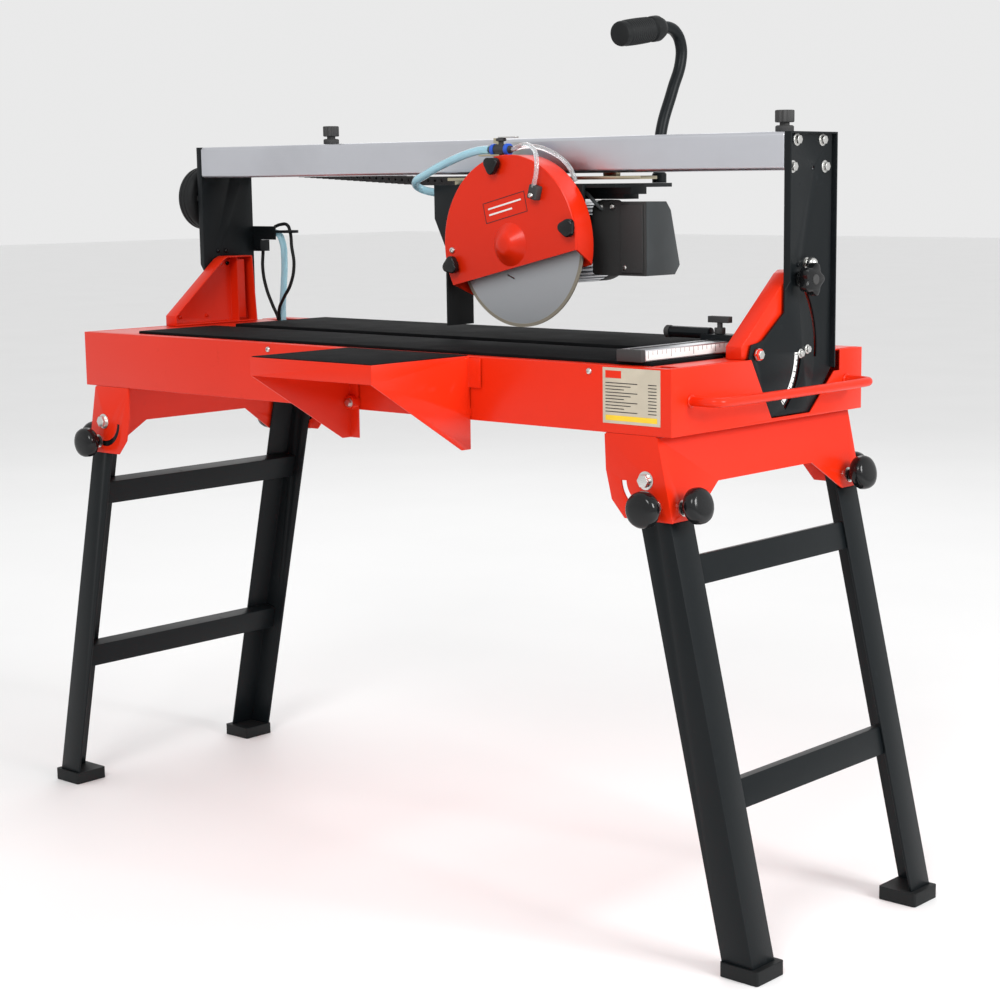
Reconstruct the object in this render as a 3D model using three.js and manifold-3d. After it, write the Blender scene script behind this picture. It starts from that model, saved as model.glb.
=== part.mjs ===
// Rail tile cutter: a water tray on two folding ladder legs, with a tilting guide beam
// that carries a plunging saw head. Millimetres, +X along the beam, +Y to the rear, +Z up.
// The drawing is centred on the tray. The origin is on the floor, under the middle of the
// whole machine's box, so everything is moved back by ORIGIN_SHIFT.
import * as THREE from 'three';
import { mergeVertices } from 'three/addons/utils/BufferGeometryUtils.js';
import Module from 'manifold-3d';

const wasm = await Module();
wasm.setup();

// ---------------------------------------------------------------- driving dimensions
const ORIGIN_SHIFT = 77.85;      // from the tray's centre to the machine's, along +Y
const GAP = 0.3;                 // clearance between touching pieces
const SHEET = 2.5;               // folded steel sheet
const SLIVER = 0.01;             // edges shorter than this are joined up

const TRAY = { half: 630, side: 228, top: 812, bottom: 722 };
const TABLE = { left: -514, right: 576, front: -203, slotFront: -41, slotRear: 7, rear: 219.5 };
const TABLE_TOP = 816.3;
const TABLE_UNDER = 808.3;
const DECK = { inner: 579, outer: 620 };

const LEG = { pivotX: 587, pivotZ: 662, splay: 13.2, width: 50, wall: 3.5, face: 224.9 };
const FOOT = { inner: 711, outer: 774, front: 229, rear: 167, height: 20 };
const RUNG = { depth: 25, height: 40, wall: 2, drops: { upper: 111, lower: 418 } };
const BRACKET = { top: 719.4, lower: 608, topX: 606.5, slope: 0.2217, arch: 652 };
const SLOT_KNOB = { radius: 38, angle: -66, fold: 103 };
const END_KNOB = { side: 200, height: 625 };

const TILT = { y: -31.5, z: 818, pin: 5, lockRadius: 142.6, lockAngle: 44, stud: 2.8, guideRadius: 105 };
const GUSSET = { inner: 594, outer: 621 };
const UPRIGHT = { web: 624, lip: 635, front: 34, rear: 150, top: 1121 };
const BEAM = { half: 623.5, front: 34, rear: 146, bottom: 1068, top: 1121, wall: 5, slot: 18 };
const BEAM_Y = (BEAM.front + BEAM.rear) / 2;

const ROLLER = { radius: 18, axle: 5, stations: { left_roller: 20, right_roller: 270 } };
const HOSE_RING = { x: -541, y: 165 };
const ROLLER_Z = BEAM.bottom + BEAM.wall + GAP + ROLLER.radius;
const CARRIAGE = { left: -30, right: 300, front: 44, rear: 136, low: 1058, high: 1063, tongue: 362 };
const PLUNGE = { x: 0, z: 1030, pin: 6 };
const BLADE = { x: 176, y: -14, z: 963, radius: 125, thickness: 2.4, bore: 13 };
const GUARD = { radius: 133, front: -38, rear: 0, chord: 13 };
const MOTOR = { front: 7, rear: 190, radius: 64 };
const BOX = { left: 270.3, right: 366, front: 54, low: 916, high: 1025 };
const ROCKER = { x: 318, y: 123, z: 971, lean: 15 };
const HANDLE = { x: 300, radius: 9 };
const WHEEL = { y: 77.5, z: 1032, radius: 56, inner: 644, outer: 680 };
const SIDE = { left: 22, right: 270, front: -423, back: -230, top: 813.5, skirt: 787, toe: 680 };
const RULER = { left: 524, right: 567, front: -210, rear: 212, low: 816.8, high: 833 };

// ---------------------------------------------------------------- materials
const paint = (color, roughness, metalness) => new THREE.MeshStandardMaterial({ color, roughness, metalness });
const RED = [0xd42a14, 0.4, 0.1];
const BLACK_STEEL = [0x22282b, 0.45, 0.3];
const ALUMINIUM = [0xc2c4c8, 0.35, 0.9];
const STEEL = [0xa8abae, 0.3, 0.95];
const RUBBER = [0x1d1f21, 0.85, 0.0];
const PLASTIC = [0x17191a, 0.45, 0.0];
const BLUE_HOSE = [0xa9cfe0, 0.4, 0.0];

// ---------------------------------------------------------------- solids and placing
function solid(geometry) {
  const bare = geometry.clone();
  bare.deleteAttribute('normal');
  bare.deleteAttribute('uv');
  const merged = mergeVertices(bare, 1e-4);
  const index = merged.index.array;
  const faces = [];
  for (let i = 0; i < index.length; i += 3) {
    const [a, b, c] = [index[i], index[i + 1], index[i + 2]];
    if (a !== b && b !== c && c !== a) faces.push(a, b, c);
  }
  const vertProperties = new Float32Array(merged.attributes.position.array);
  return new wasm.Manifold(new wasm.Mesh({ numProp: 3, vertProperties, triVerts: new Uint32Array(faces) }));
}

const join = (...parts) => parts.reduce((whole, part) => whole.add(part));
const cut = (whole, ...tools) => tools.reduce((rest, tool) => rest.subtract(tool), whole);

// The faces of a finished solid, with the slivers that joins and cuts leave taken out.
function toGeometry(manifold) {
  const mesh = manifold.asOriginal().simplify(SLIVER).getMesh();
  const geometry = new THREE.BufferGeometry();
  geometry.setAttribute('position', new THREE.BufferAttribute(mesh.vertProperties, 3));
  geometry.setIndex(new THREE.BufferAttribute(mesh.triVerts, 1));
  geometry.computeVertexNormals();
  return geometry;
}

const object = new THREE.Group();
const assembly = new THREE.Group();
assembly.position.y = ORIGIN_SHIFT;
object.add(assembly);
function place(name, manifold, finish) {
  const mesh = new THREE.Mesh(toGeometry(manifold), paint(...finish));
  mesh.name = name;
  assembly.add(mesh);
}

// The mirror image of a solid in the plane X = 0 or Y = 0.
const mirrorX = (part) => part.mirror([1, 0, 0]);
const mirrorY = (part) => part.mirror([0, 1, 0]);

// ---------------------------------------------------------------- basic shapes
function box(x0, x1, y0, y1, z0, z1) {
  const geometry = new THREE.BoxGeometry(x1 - x0, y1 - y0, z1 - z0);
  return solid(geometry.translate((x0 + x1) / 2, (y0 + y1) / 2, (z0 + z1) / 2));
}

const BASIS = {
  X: new THREE.Matrix4().makeBasis(
    new THREE.Vector3(0, 1, 0), new THREE.Vector3(0, 0, 1), new THREE.Vector3(1, 0, 0)),
  Y: new THREE.Matrix4().makeBasis(
    new THREE.Vector3(1, 0, 0), new THREE.Vector3(0, 0, 1), new THREE.Vector3(0, -1, 0)),
  Z: new THREE.Matrix4(),
};

// Moves a shape drawn at zero along an axis to its place. On Y the drawing faces the front.
function along(axis, geometry, from, to) {
  geometry.applyMatrix4(BASIS[axis]);
  if (axis === 'X') return geometry.translate(from, 0, 0);
  if (axis === 'Y') return geometry.translate(0, to, 0);
  return geometry.translate(0, 0, from);
}

// A flat outline, drawn as (Y, Z) on X, (X, Z) on Y or (X, Y) on Z, given a thickness.
function plate(axis, outline, from, to, holes = [], curveSegments = 8) {
  const shape = Array.isArray(outline) ? polygon(outline) : outline;
  for (const hole of holes) shape.holes.push(hole);
  const geometry = new THREE.ExtrudeGeometry(shape, { depth: to - from, bevelEnabled: false, curveSegments });
  return solid(along(axis, geometry, from, to));
}

function polygon(points) {
  return new THREE.Shape(points.map(([a, b]) => new THREE.Vector2(a, b)));
}

function circle(a, b, radius) {
  return new THREE.Path().absarc(a, b, radius, 0, Math.PI * 2, false);
}

function roundedRectangle(a0, a1, b0, b1, r) {
  const shape = new THREE.Shape();
  shape.absarc(a1 - r, b0 + r, r, -Math.PI / 2, 0, false);
  shape.absarc(a1 - r, b1 - r, r, 0, Math.PI / 2, false);
  shape.absarc(a0 + r, b1 - r, r, Math.PI / 2, Math.PI, false);
  shape.absarc(a0 + r, b0 + r, r, Math.PI, Math.PI * 1.5, false);
  return shape;
}

const radians = (degrees) => THREE.MathUtils.degToRad(degrees);
const polar = (a, b, radius, degrees) => [
  a + radius * Math.cos(radians(degrees)), b + radius * Math.sin(radians(degrees))];

// A curved slot of a given width about a centre, between two angles in degrees.
function arcSlot(a, b, radius, width, fromDegrees, toDegrees) {
  const [low, high] = [radians(fromDegrees), radians(toDegrees)];
  const path = new THREE.Path();
  path.absarc(a, b, radius + width / 2, low, high, false);
  path.absarc(a, b, radius - width / 2, high, low, true);
  path.closePath();
  return path;
}

// A solid of revolution: the profile is (radius, distance along the axis).
function turned(profile, segments = 16) {
  const points = profile.map(([radius, height]) => new THREE.Vector2(radius, height));
  return new THREE.LatheGeometry(points, segments).rotateX(Math.PI / 2);
}

// Lays a solid of revolution along X or Y through a point, or leaves it upright on Z.
function lay(axis, geometry, x, y, z) {
  if (axis === 'X') geometry.rotateY(Math.PI / 2);
  if (axis === 'Y') geometry.rotateX(-Math.PI / 2);
  return solid(geometry.translate(x, y, z));
}

function rod(axis, radius, from, to, a, b, segments = 12) {
  const geometry = turned([[0, from], [radius, from], [radius, to], [0, to]], segments);
  if (axis === 'X') return lay('X', geometry, 0, a, b);
  if (axis === 'Y') return lay('Y', geometry, a, 0, b);
  return lay('Z', geometry, a, b, 0);
}

function tube(points, radius, sides, steps) {
  const curve = new THREE.CatmullRomCurve3(points.map((p) => new THREE.Vector3(...p)), false, 'centripetal');
  const ring = Array.from({ length: sides }, (_, i) => polar(0, 0, radius, (360 * i) / sides));
  return solid(new THREE.ExtrudeGeometry(polygon(ring), { extrudePath: curve, steps }));
}

// ---------------------------------------------------------------- water tray and tables
// The opening in each end wall that the foot of the upright swings in.
const SWING_OPENING = [[-50, 814], [0, 727], [95, 727], [156, 782], [170, 782], [170, 814]];

function deck(left, right) {
  return box(left, right, -TRAY.side + 1, TRAY.side - 1, TRAY.top - SHEET, TRAY.top);
}

function waterTray() {
  const { half, side, top, bottom } = TRAY;
  const shell = cut(
    box(-half, half, -side, side, bottom, top),
    box(-half + SHEET, half - SHEET, -side + SHEET, side - SHEET, bottom + SHEET, top + 1));
  const frontLip = box(-DECK.outer, DECK.outer, -side + 1, TABLE.front - 1, top - SHEET, top);
  const rearLip = box(-DECK.outer, DECK.outer, TABLE.rear + 1, side - 1, top - SHEET, top);
  const bars = [-480, -130, 220, 540].map((x) => box(x - 6, x + 6, -side + 1, side - 1, 792, 808));
  const bladeClearance = box(-half, half, -48, 14, 797, 809);
  const decks = join(deck(-DECK.outer, TABLE.left - 3), deck(DECK.inner, DECK.outer));
  const lineHole = box(-598, -550, 150, 200, top - 5, top + 1);
  const corner = box(586, 616, -214, -192, top - 5, top + 1);
  const openings = [-half - 1, half - SHEET - 1].map((x) => plate('X', SWING_OPENING, x, x + SHEET + 2));
  const body = join(shell, frontLip, rearLip, cut(join(...bars), bladeClearance), decks);
  return cut(body, lineHole, corner, ...openings);
}

function carryHandle() {
  const reach = TRAY.half + 41;
  const path = [
    [TRAY.half + GAP, -186, 767], [reach - 14, -186, 767], [reach, -172, 767],
    [reach, 0, 767], [reach, 172, 767], [reach - 14, 186, 767], [TRAY.half + GAP, 186, 767]];
  return tube(path, 6.5, 8, 24);
}

function tables() {
  const { left, right, front, slotFront, slotRear, rear } = TABLE;
  place('front_table', box(left, right, front, slotFront, TABLE_UNDER, TABLE_TOP), RUBBER);
  place('rear_table', box(left, right, slotRear, rear, TABLE_UNDER, TABLE_TOP), RUBBER);
}

// ---------------------------------------------------------------- folding legs, drawn at the right end
const BRACKET_OUTLINE = [[516, 720], [606.5, 720], [631.3, 608], [550, 608], [528, 632], [518, 672]];
const END_PANEL = [
  [-228, 719.4], [-228, 608.5], [-178, 608.5], [-113, 652], [113, 652], [178, 608.5], [228, 608.5], [228, 719.4]];

// The curved slot that the clamp knob's shank runs in as the legs fold.
function foldSlot() {
  const first = SLOT_KNOB.angle - SLOT_KNOB.fold - 7;
  return arcSlot(LEG.pivotX, LEG.pivotZ, SLOT_KNOB.radius, 9, first, SLOT_KNOB.angle + 8);
}

// Leans an upright plate outwards, like the end panel of the bracket.
function lean(part) {
  const shear = [1, 0, 0, 0, 0, 1, 0, 0, -BRACKET.slope, 0, 1, 0, 0, 0, 0, 1];
  return part.translate([0, 0, -720]).transform(shear).translate([BRACKET.topX, 0, 720]);
}

function legBracket() {
  const side = TRAY.side;
  const ear = plate('Y', BRACKET_OUTLINE, -side, -side + SHEET, [foldSlot()]);
  const panelHoles = [-1, 1].map((end) => circle(end * END_KNOB.side, END_KNOB.height, 5.2));
  const panel = lean(plate('X', END_PANEL, -SHEET, 0, panelHoles));
  const top = box(518, 604, -side, side, BRACKET.top, TRAY.bottom - GAP);
  const pin = join(
    rod('Y', 5, -side + 1, -side + 12, LEG.pivotX, LEG.pivotZ),
    rod('Y', 8.5, -side - 5, -side + 1, LEG.pivotX, LEG.pivotZ, 6));
  const half = join(ear, pin);
  const keepBelow = box(400, 700, -300, 300, 500, TRAY.bottom - GAP);
  return join(half, mirrorY(half), panel, top).intersect(keepBelow);
}

// Turns a leg piece drawn upright at the pivot to its splay, and puts it in place.
function splay(part) {
  return part.rotate([0, -LEG.splay, 0]).translate([LEG.pivotX, 0, LEG.pivotZ]);
}

// An angle-section leg at the front. Grown by a clearance it also cuts the foot's socket.
function angleLeg(grow) {
  const half = LEG.width / 2 + grow;
  const end = -700;
  const top = new THREE.Shape();
  top.moveTo(-half, end);
  top.lineTo(half, end);
  top.absarc(0, 0, half, 0, Math.PI, false);
  const holes = grow ? [] : [circle(0, 0, 5.6)];
  const frontFlange = plate('Y', top, -LEG.face - grow, -LEG.face + LEG.wall + grow, holes);
  const sideFlange = box(half - LEG.wall - 2 * grow, half, -LEG.face - grow, -LEG.face + LEG.width + grow, end, 8);
  return splay(join(frontFlange, sideFlange));
}

function leg() {
  return cut(angleLeg(0), box(500, 1000, -300, 300, -200, 8));
}

function foot() {
  const { inner, outer, front, rear, height } = FOOT;
  const block = plate('Z', roundedRectangle(inner, outer, -front, -rear, 4), 0, height, [], 3);
  const socket = angleLeg(0.4).intersect(box(500, 1000, -300, 300, 7.6, 60));
  return cut(block, socket);
}

function rung(drop) {
  const outer = LEG.width / 2 - LEG.wall - GAP;
  const inner = outer - RUNG.depth;
  const low = -drop - RUNG.height;
  const reach = LEG.face - LEG.wall - GAP;
  const bore = new THREE.Path([
    [inner + RUNG.wall, low + RUNG.wall], [outer - RUNG.wall, low + RUNG.wall],
    [outer - RUNG.wall, -drop - RUNG.wall], [inner + RUNG.wall, -drop - RUNG.wall],
  ].map(([a, b]) => new THREE.Vector2(a, b)));
  const outline = [[inner, low], [outer, low], [outer, -drop], [inner, -drop]];
  return splay(plate('Y', outline, -reach, reach, [bore]));
}

// A mushroom clamp knob with its washer and shank, along +Z from the clamped face.
function clampKnob(shank) {
  return turned([
    [0, -shank], [4, -shank], [4, 0], [10, 0], [10, 3], [8, 3.5], [8, 12], [14, 13],
    [23, 17], [25, 22], [25, 28], [22, 34], [14, 38], [0, 39]], 12);
}

function slotKnob() {
  const [x, z] = polar(LEG.pivotX, LEG.pivotZ, SLOT_KNOB.radius, SLOT_KNOB.angle);
  const geometry = clampKnob(SHEET + GAP).rotateX(Math.PI / 2);
  return solid(geometry.translate(x, -TRAY.side - GAP, z));
}

function endKnob() {
  const x = BRACKET.topX + (720 - END_KNOB.height) * BRACKET.slope;
  const tilt = Math.atan(BRACKET.slope);
  const geometry = clampKnob(SHEET).translate(0, 0, GAP).rotateY(Math.PI / 2 - tilt);
  return solid(geometry.translate(x, -END_KNOB.side, END_KNOB.height));
}

function legs() {
  const ends = { left: mirrorX, right: (part) => part };
  const rows = { front: (part) => part, rear: mirrorY };
  for (const [end, toEnd] of Object.entries(ends)) {
    place(`${end}_leg_bracket`, toEnd(legBracket()), RED);
    for (const [level, drop] of Object.entries(RUNG.drops)) {
      place(`${end}_${level}_rung`, toEnd(rung(drop)), BLACK_STEEL);
    }
    for (const [row, toRow] of Object.entries(rows)) {
      place(`${row}_${end}_leg`, toEnd(toRow(leg())), BLACK_STEEL);
      place(`${row}_${end}_foot`, toEnd(toRow(foot())), RUBBER);
      place(`${row}_${end}_slot_knob`, toEnd(toRow(slotKnob())), PLASTIC);
      place(`${row}_${end}_end_knob`, toEnd(toRow(endKnob())), PLASTIC);
    }
  }
}

// ---------------------------------------------------------------- tilting bridge, drawn at the right end
const GUSSET_OUTLINE = [[-60, 812.3], [128, 812.3], [120, 930], [62, 930], [52, 925], [-60, 830]];
const GUSSET_POCKET = [[-57, 815], [125, 815], [117.5, 927.5], [62.5, 927.5], [54, 923], [-57, 829]];
const UPRIGHT_OUTLINE = [
  [34, 1121], [34, 872], [-14, 838], [-26, 834], [-44, 832], [-50, 814], [-28, 768], [-2, 728],
  [96, 728], [112, 742], [150, 786], [150, 1121]];

// A pan that stands on the deck, open on its inner side, with an upright rib and the hinge pin.
function gusset() {
  const { inner, outer } = GUSSET;
  const web = outer - SHEET;
  const block = plate('X', GUSSET_OUTLINE, inner, outer);
  const pocket = plate('X', GUSSET_POCKET, inner - 1, web);
  const rib = join(box(inner + 6, web + 1, 88, 90.5, 814, 928), box(inner + 6, inner + 8.5, 88, 106, 820, 924));
  const pin = join(
    rod('X', TILT.pin, outer - 2, UPRIGHT.web + 6, TILT.y, TILT.z),
    rod('X', 9, UPRIGHT.web + SHEET + 0.8, UPRIGHT.web + 9, TILT.y, TILT.z, 6));
  return join(cut(block, pocket), rib, pin);
}

function upright() {
  const { web, lip, front, rear, top } = UPRIGHT;
  const holes = [
    circle(TILT.y, TILT.z, TILT.pin + 0.6),
    arcSlot(TILT.y, TILT.z, TILT.lockRadius, 6.6, -5, TILT.lockAngle + 2),
    arcSlot(TILT.y, TILT.z, TILT.guideRadius, 6, -50, -2),
    circle(102, 1071, 3)];
  const sheet = plate('X', UPRIGHT_OUTLINE, web, web + SHEET, holes, 10);
  const frontFlange = plate('Y', [[web, 900], [lip, 916], [lip, top], [web, top]], front, front + SHEET);
  const topFlange = box(web, lip, front, rear, top - SHEET, top);
  const rearFlange = box(web, lip, rear - SHEET, rear, 788, top);
  return join(sheet, frontFlange, topFlange, rearFlange);
}

// The left upright carries the stub axle of the transport wheel.
function leftUpright() {
  const axle = join(
    rod('X', 6, UPRIGHT.web + 1, WHEEL.outer + 4, WHEEL.y, WHEEL.z),
    rod('X', 10, WHEEL.outer + GAP, WHEEL.outer + 5, WHEEL.y, WHEEL.z));
  return mirrorX(join(upright(), axle));
}

function transportWheel() {
  const { inner, outer, radius } = WHEEL;
  const profile = [
    [6.5, -outer], [14, -outer], [14, -outer + 4], [36, -outer + 8], [36, -outer + 2], [50, -outer],
    [radius, -outer + 5], [radius, -inner - 5], [50, -inner], [36, -inner - 2], [36, -inner - 8],
    [14, -inner - 4], [14, -inner], [6.5, -inner], [6.5, -outer]];
  return lay('X', turned(profile, 24), 0, WHEEL.y, WHEEL.z);
}

// A box section that is open along the middle of its underside, where the carriage hangs in.
function guideBeam() {
  const { half, front, rear, bottom, top, wall, slot } = BEAM;
  const outside = plate('X', roundedRectangle(front, rear, bottom, top, 6), -half, half, [], 4);
  const inside = box(-half - 1, half + 1, front + wall, rear - wall, bottom + wall, top - wall);
  const groove = box(-half - 1, half + 1, BEAM_Y - slot, BEAM_Y + slot, bottom - 1, bottom + wall + 1);
  return cut(outside, inside, groove);
}

function flutedKnob(x) {
  const head = new THREE.Shape();
  for (let i = 0; i < 32; i += 1) {
    const [a, b] = polar(x, 60, i % 4 < 2 ? 15 : 13, (360 * i) / 32);
    if (i === 0) head.moveTo(a, b); else head.lineTo(a, b);
  }
  return join(
    rod('Z', 14, BEAM.top + GAP, BEAM.top + 8, x, 60),
    rod('Z', 7, BEAM.top + 7, BEAM.top + 13, x, 60),
    plate('Z', head, BEAM.top + 12, BEAM.top + 30));
}

function tiltLockKnob() {
  const [y, z] = polar(TILT.y, TILT.z, TILT.lockRadius, TILT.lockAngle);
  const start = UPRIGHT.web + SHEET;
  const star = new THREE.Shape();
  for (let i = 0; i < 30; i += 1) {
    const [a, b] = polar(y, z, i % 6 < 3 ? 24 : 18, (360 * i) / 30);
    if (i === 0) star.moveTo(a, b); else star.lineTo(a, b);
  }
  return join(
    rod('X', TILT.stud, GUSSET.outer + GAP, start + 4, y, z),
    rod('X', 10, start + 0.5, start + 14, y, z),
    plate('X', star, start + 13, start + 26));
}

function hoseBracket() {
  const back = UPRIGHT.rear + GAP;
  const arm = box(-638, -566, back, back + 3, 957, 981);
  const cableBox = box(-636, -606, back + 2, back + 22, 936, 956);
  const web = box(-636, -606, back, back + 3, 940, 960);
  const rim = new THREE.Shape().absarc(HOSE_RING.x, HOSE_RING.y, 15, 0, Math.PI * 2, false);
  const ring = plate('Z', rim, 969, 974, [circle(HOSE_RING.x, HOSE_RING.y, 9)]);
  const hook = box(-567, -547, back, back + 3, 969, 974);
  return join(arm, cableBox, web, ring, hook);
}

// The cable chain runs behind the beam, from the left upright down to the carriage.
function cableChain() {
  const outline = [[-612, 1070], [-560, 1069], [-230, 1051], [-34, 1051], [-34, 1066], [-230, 1066], [-560, 1084],
    [-612, 1085]];
  const bracket = box(-612, -600, UPRIGHT.rear + GAP, 184, 1072, 1083);
  return join(plate('Y', outline, 180, 200), bracket);
}

function bridge() {
  place('left_gusset', mirrorX(gusset()), RED);
  place('right_gusset', gusset(), RED);
  place('left_upright', leftUpright(), BLACK_STEEL);
  place('right_upright', upright(), BLACK_STEEL);
  place('guide_beam', guideBeam(), ALUMINIUM);
  place('left_stop_knob', flutedKnob(-314), PLASTIC);
  place('right_stop_knob', flutedKnob(606), PLASTIC);
  place('tilt_lock_knob', tiltLockKnob(), PLASTIC);
  place('transport_wheel', transportWheel(), RUBBER);
  place('hose_bracket', hoseBracket(), BLACK_STEEL);
  place('cable_chain', cableChain(), PLASTIC);
}

// ---------------------------------------------------------------- carriage and saw head
function carriage() {
  const { left, right, front, rear, low, high } = CARRIAGE;
  const tongue = box(right - 1, CARRIAGE.tongue, front, 84, low, high);
  const bed = join(box(left, right, front, rear, low, high), tongue);
  const hangers = Object.values(ROLLER.stations).map((x) => {
    const strap = plate('Y', roundedRectangle(x - 13, x + 13, low, ROLLER_Z + 13, 8), BEAM_Y - 5, BEAM_Y + 5,
      [circle(x, ROLLER_Z, ROLLER.axle + 0.5)], 4);
    return strap;
  });
  const lug = plate('Y', roundedRectangle(-18, 18, PLUNGE.z - 14, high, 8), 48, 54,
    [circle(PLUNGE.x, PLUNGE.z, PLUNGE.pin + 0.5)], 4);
  return join(bed, ...hangers, lug, lug.translate([0, 78, 0]));
}

// Two wheels on one axle, running on the beam's lower lips.
function rollerPair(x) {
  const { radius, axle } = ROLLER;
  const profile = [
    [0, 44], [axle, 44], [radius, 45], [radius, 60], [axle, 61], [axle, 119], [radius, 120],
    [radius, 135], [axle, 136], [0, 136]];
  return lay('Y', turned(profile, 14), x, 0, ROLLER_Z);
}

const ARM_OUTLINE = [[-18, 1052], [-18, 1000], [30, 905], [62, 905], [120, 900], [250, 915], [288, 950], [288, 1052]];

// The plunging arm: a front plate with a shelf under the carriage, and the pivot barrel.
function headArm() {
  const face = plate('Y', ARM_OUTLINE, 0.5, 6.5, [circle(BLADE.x, BLADE.z, 32)]);
  const shelf = join(box(-18, 316, 6, 140, 1046, 1052), box(315, 345, 6, 80, 1046, 1052));
  const lugClearance = [47, 125].map((y) => box(-24, 24, y - 1, y + 9, 1040, 1060));
  const barrel = join(
    rod('Y', 12, 58, 122, PLUNGE.x, PLUNGE.z),
    rod('Y', PLUNGE.pin, 44, 136, PLUNGE.x, PLUNGE.z),
    box(-8, 8, 58, 122, PLUNGE.z, 1050));
  const step = join(box(224, 345, 44, 80, 1036, 1047), box(224, 330, 44, 80, 1029, 1037));
  const handleSeat = box(284, 316, 130, 179, 1046, 1052);
  return join(face, cut(join(shelf, handleSeat), ...lugClearance), barrel, step);
}

function motor() {
  const { front, rear, radius } = MOTOR;
  const profile = [
    [9, front], [52, front], [52, front + 6], [radius, front + 10], [radius, rear - 34], [radius - 3, rear - 30],
    [radius - 3, rear - 6], [radius - 12, rear], [0, rear], [0, front + 26], [9, front + 26], [9, front]];
  const body = lay('Y', turned(profile, 24), BLADE.x, 0, BLADE.z);
  return join(body, box(BLADE.x + 50, BOX.left - GAP, 62, 132, 935, 1005));
}

// Puts a piece drawn about zero, facing the rear, on the box's leaning rear face.
function onBoxRear(part) {
  return part.rotate([ROCKER.lean, 0, 0]).translate([ROCKER.x, ROCKER.y, ROCKER.z]);
}

function switchBox() {
  const { left, right, front, low, high } = BOX;
  const outline = [
    [front, low], [122, low], [134, 930], [112, 1012], [101, high], [front, high]];
  const pocket = onBoxRear(box(-18, 18, -10, 4, -18, 18));
  return join(cut(plate('X', outline, left, right), pocket), tube(MOTOR_CABLE, 3, 8, 10));
}

function powerSwitch() {
  const outline = [[-8.5, -13], [1, -13], [3.5, -8], [0.5, 0], [3.5, 8], [1, 13], [-8.5, 13]];
  return onBoxRear(plate('X', outline, -15, 15));
}

// A cutting tool that removes all below the guard's slanted lower edge.
function belowGuard(slope) {
  const block = new THREE.BoxGeometry(700, 400, 400).translate(0, 0, -200);
  block.rotateX(radians(-slope)).rotateY(radians(-GUARD.chord));
  return solid(block.translate(192.5, GUARD.front, 930));
}

function bladeGuard() {
  const { radius, front, rear } = GUARD;
  const ring = (r, from, to) => rod('Y', r, from, to, BLADE.x, BLADE.z, 40);
  const shell = cut(ring(radius, front, rear), ring(radius - SHEET, front - 1, rear - SHEET));
  return cut(shell, ring(30, rear - SHEET - 1, rear + 1), belowGuard(30));
}

function guardCover() {
  const { radius, front } = GUARD;
  const outer = front - GAP - SHEET;
  const disc = cut(rod('Y', radius, outer, front - GAP, BLADE.x, BLADE.z, 40), belowGuard(0));
  const cone = lay('Y', turned([[0, outer - 17], [14, outer - 17], [32, outer + 1], [0, outer + 1]], 20),
    BLADE.x + 3, 0, BLADE.z);
  return join(disc, cone);
}

function sawBlade() {
  const { x, y, z, radius, thickness, bore } = BLADE;
  const half = thickness / 2;
  const profile = [
    [bore, y - half], [radius - 9, y - half], [radius - 8, y - half - 0.3], [radius, y - half - 0.3],
    [radius, y + half + 0.3], [radius - 8, y + half + 0.3], [radius - 9, y + half], [bore, y + half],
    [bore, y - half]];
  return lay('Y', turned(profile, 40), x, 0, z);
}

function bladeSpindle() {
  const { x, y, z } = BLADE;
  const profile = [
    [0, y - 17], [7, y - 17], [7, y - 13], [11, y - 13], [11, y - 6], [28, y - 5], [28, y - 1.5],
    [12.6, y - 1.5], [12.6, y + 1.5], [28, y + 1.5], [28, y + 4], [14, y + 6], [8, y + 14], [8, 28], [0, 28]];
  return lay('Y', turned(profile, 16), x, 0, z);
}

function waterValve() {
  const strap = box(104, 122, 7, 9.5, 1052.3, 1122);
  const foot = box(104, 122, 7, 40, 1052.3, 1055);
  const shelf = box(104, 146, -27, 9.5, 1094.5, 1097);
  const body = join(
    rod('X', 6.5, 120, 165, -18, 1104), rod('X', 8.5, 126, 132, -18, 1104), rod('X', 8.5, 154, 160, -18, 1104),
    box(136, 150, -24, -12, 1096, 1112));
  return join(strap, foot, shelf, body);
}

const HANDLE_PATH = [
  [168, 1052.3], [168, 1090], [173, 1130], [201, 1192], [222, 1238], [222, 1262], [208, 1280], [186, 1285],
  [172, 1283.6]];
const GRIP_AXIS = { from: [72, 1270], to: [171.6, 1283.5] };

function handleTube() {
  return tube(HANDLE_PATH.map(([y, z]) => [HANDLE.x, y, z]), HANDLE.radius, 10, 18);
}

// The barrel grip: it swells in the middle and ends in a collar on the tube.
function handleGrip() {
  const [[y0, z0], [y1, z1]] = [GRIP_AXIS.from, GRIP_AXIS.to];
  const length = Math.hypot(y1 - y0, z1 - z0) - GAP;
  const profile = [
    [0, 0], [15, 0], [18, 4], [18.5, 12], [19, 45], [18, 70], [16.5, 76], [18.5, 79], [18.5, 92], [16, length],
    [0, length]];
  const geometry = turned(profile, 14).rotateX(-Math.PI / 2);
  geometry.rotateX(Math.atan2(z1 - z0, y1 - y0));
  return solid(geometry.translate(HANDLE.x, y0, z0));
}

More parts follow.
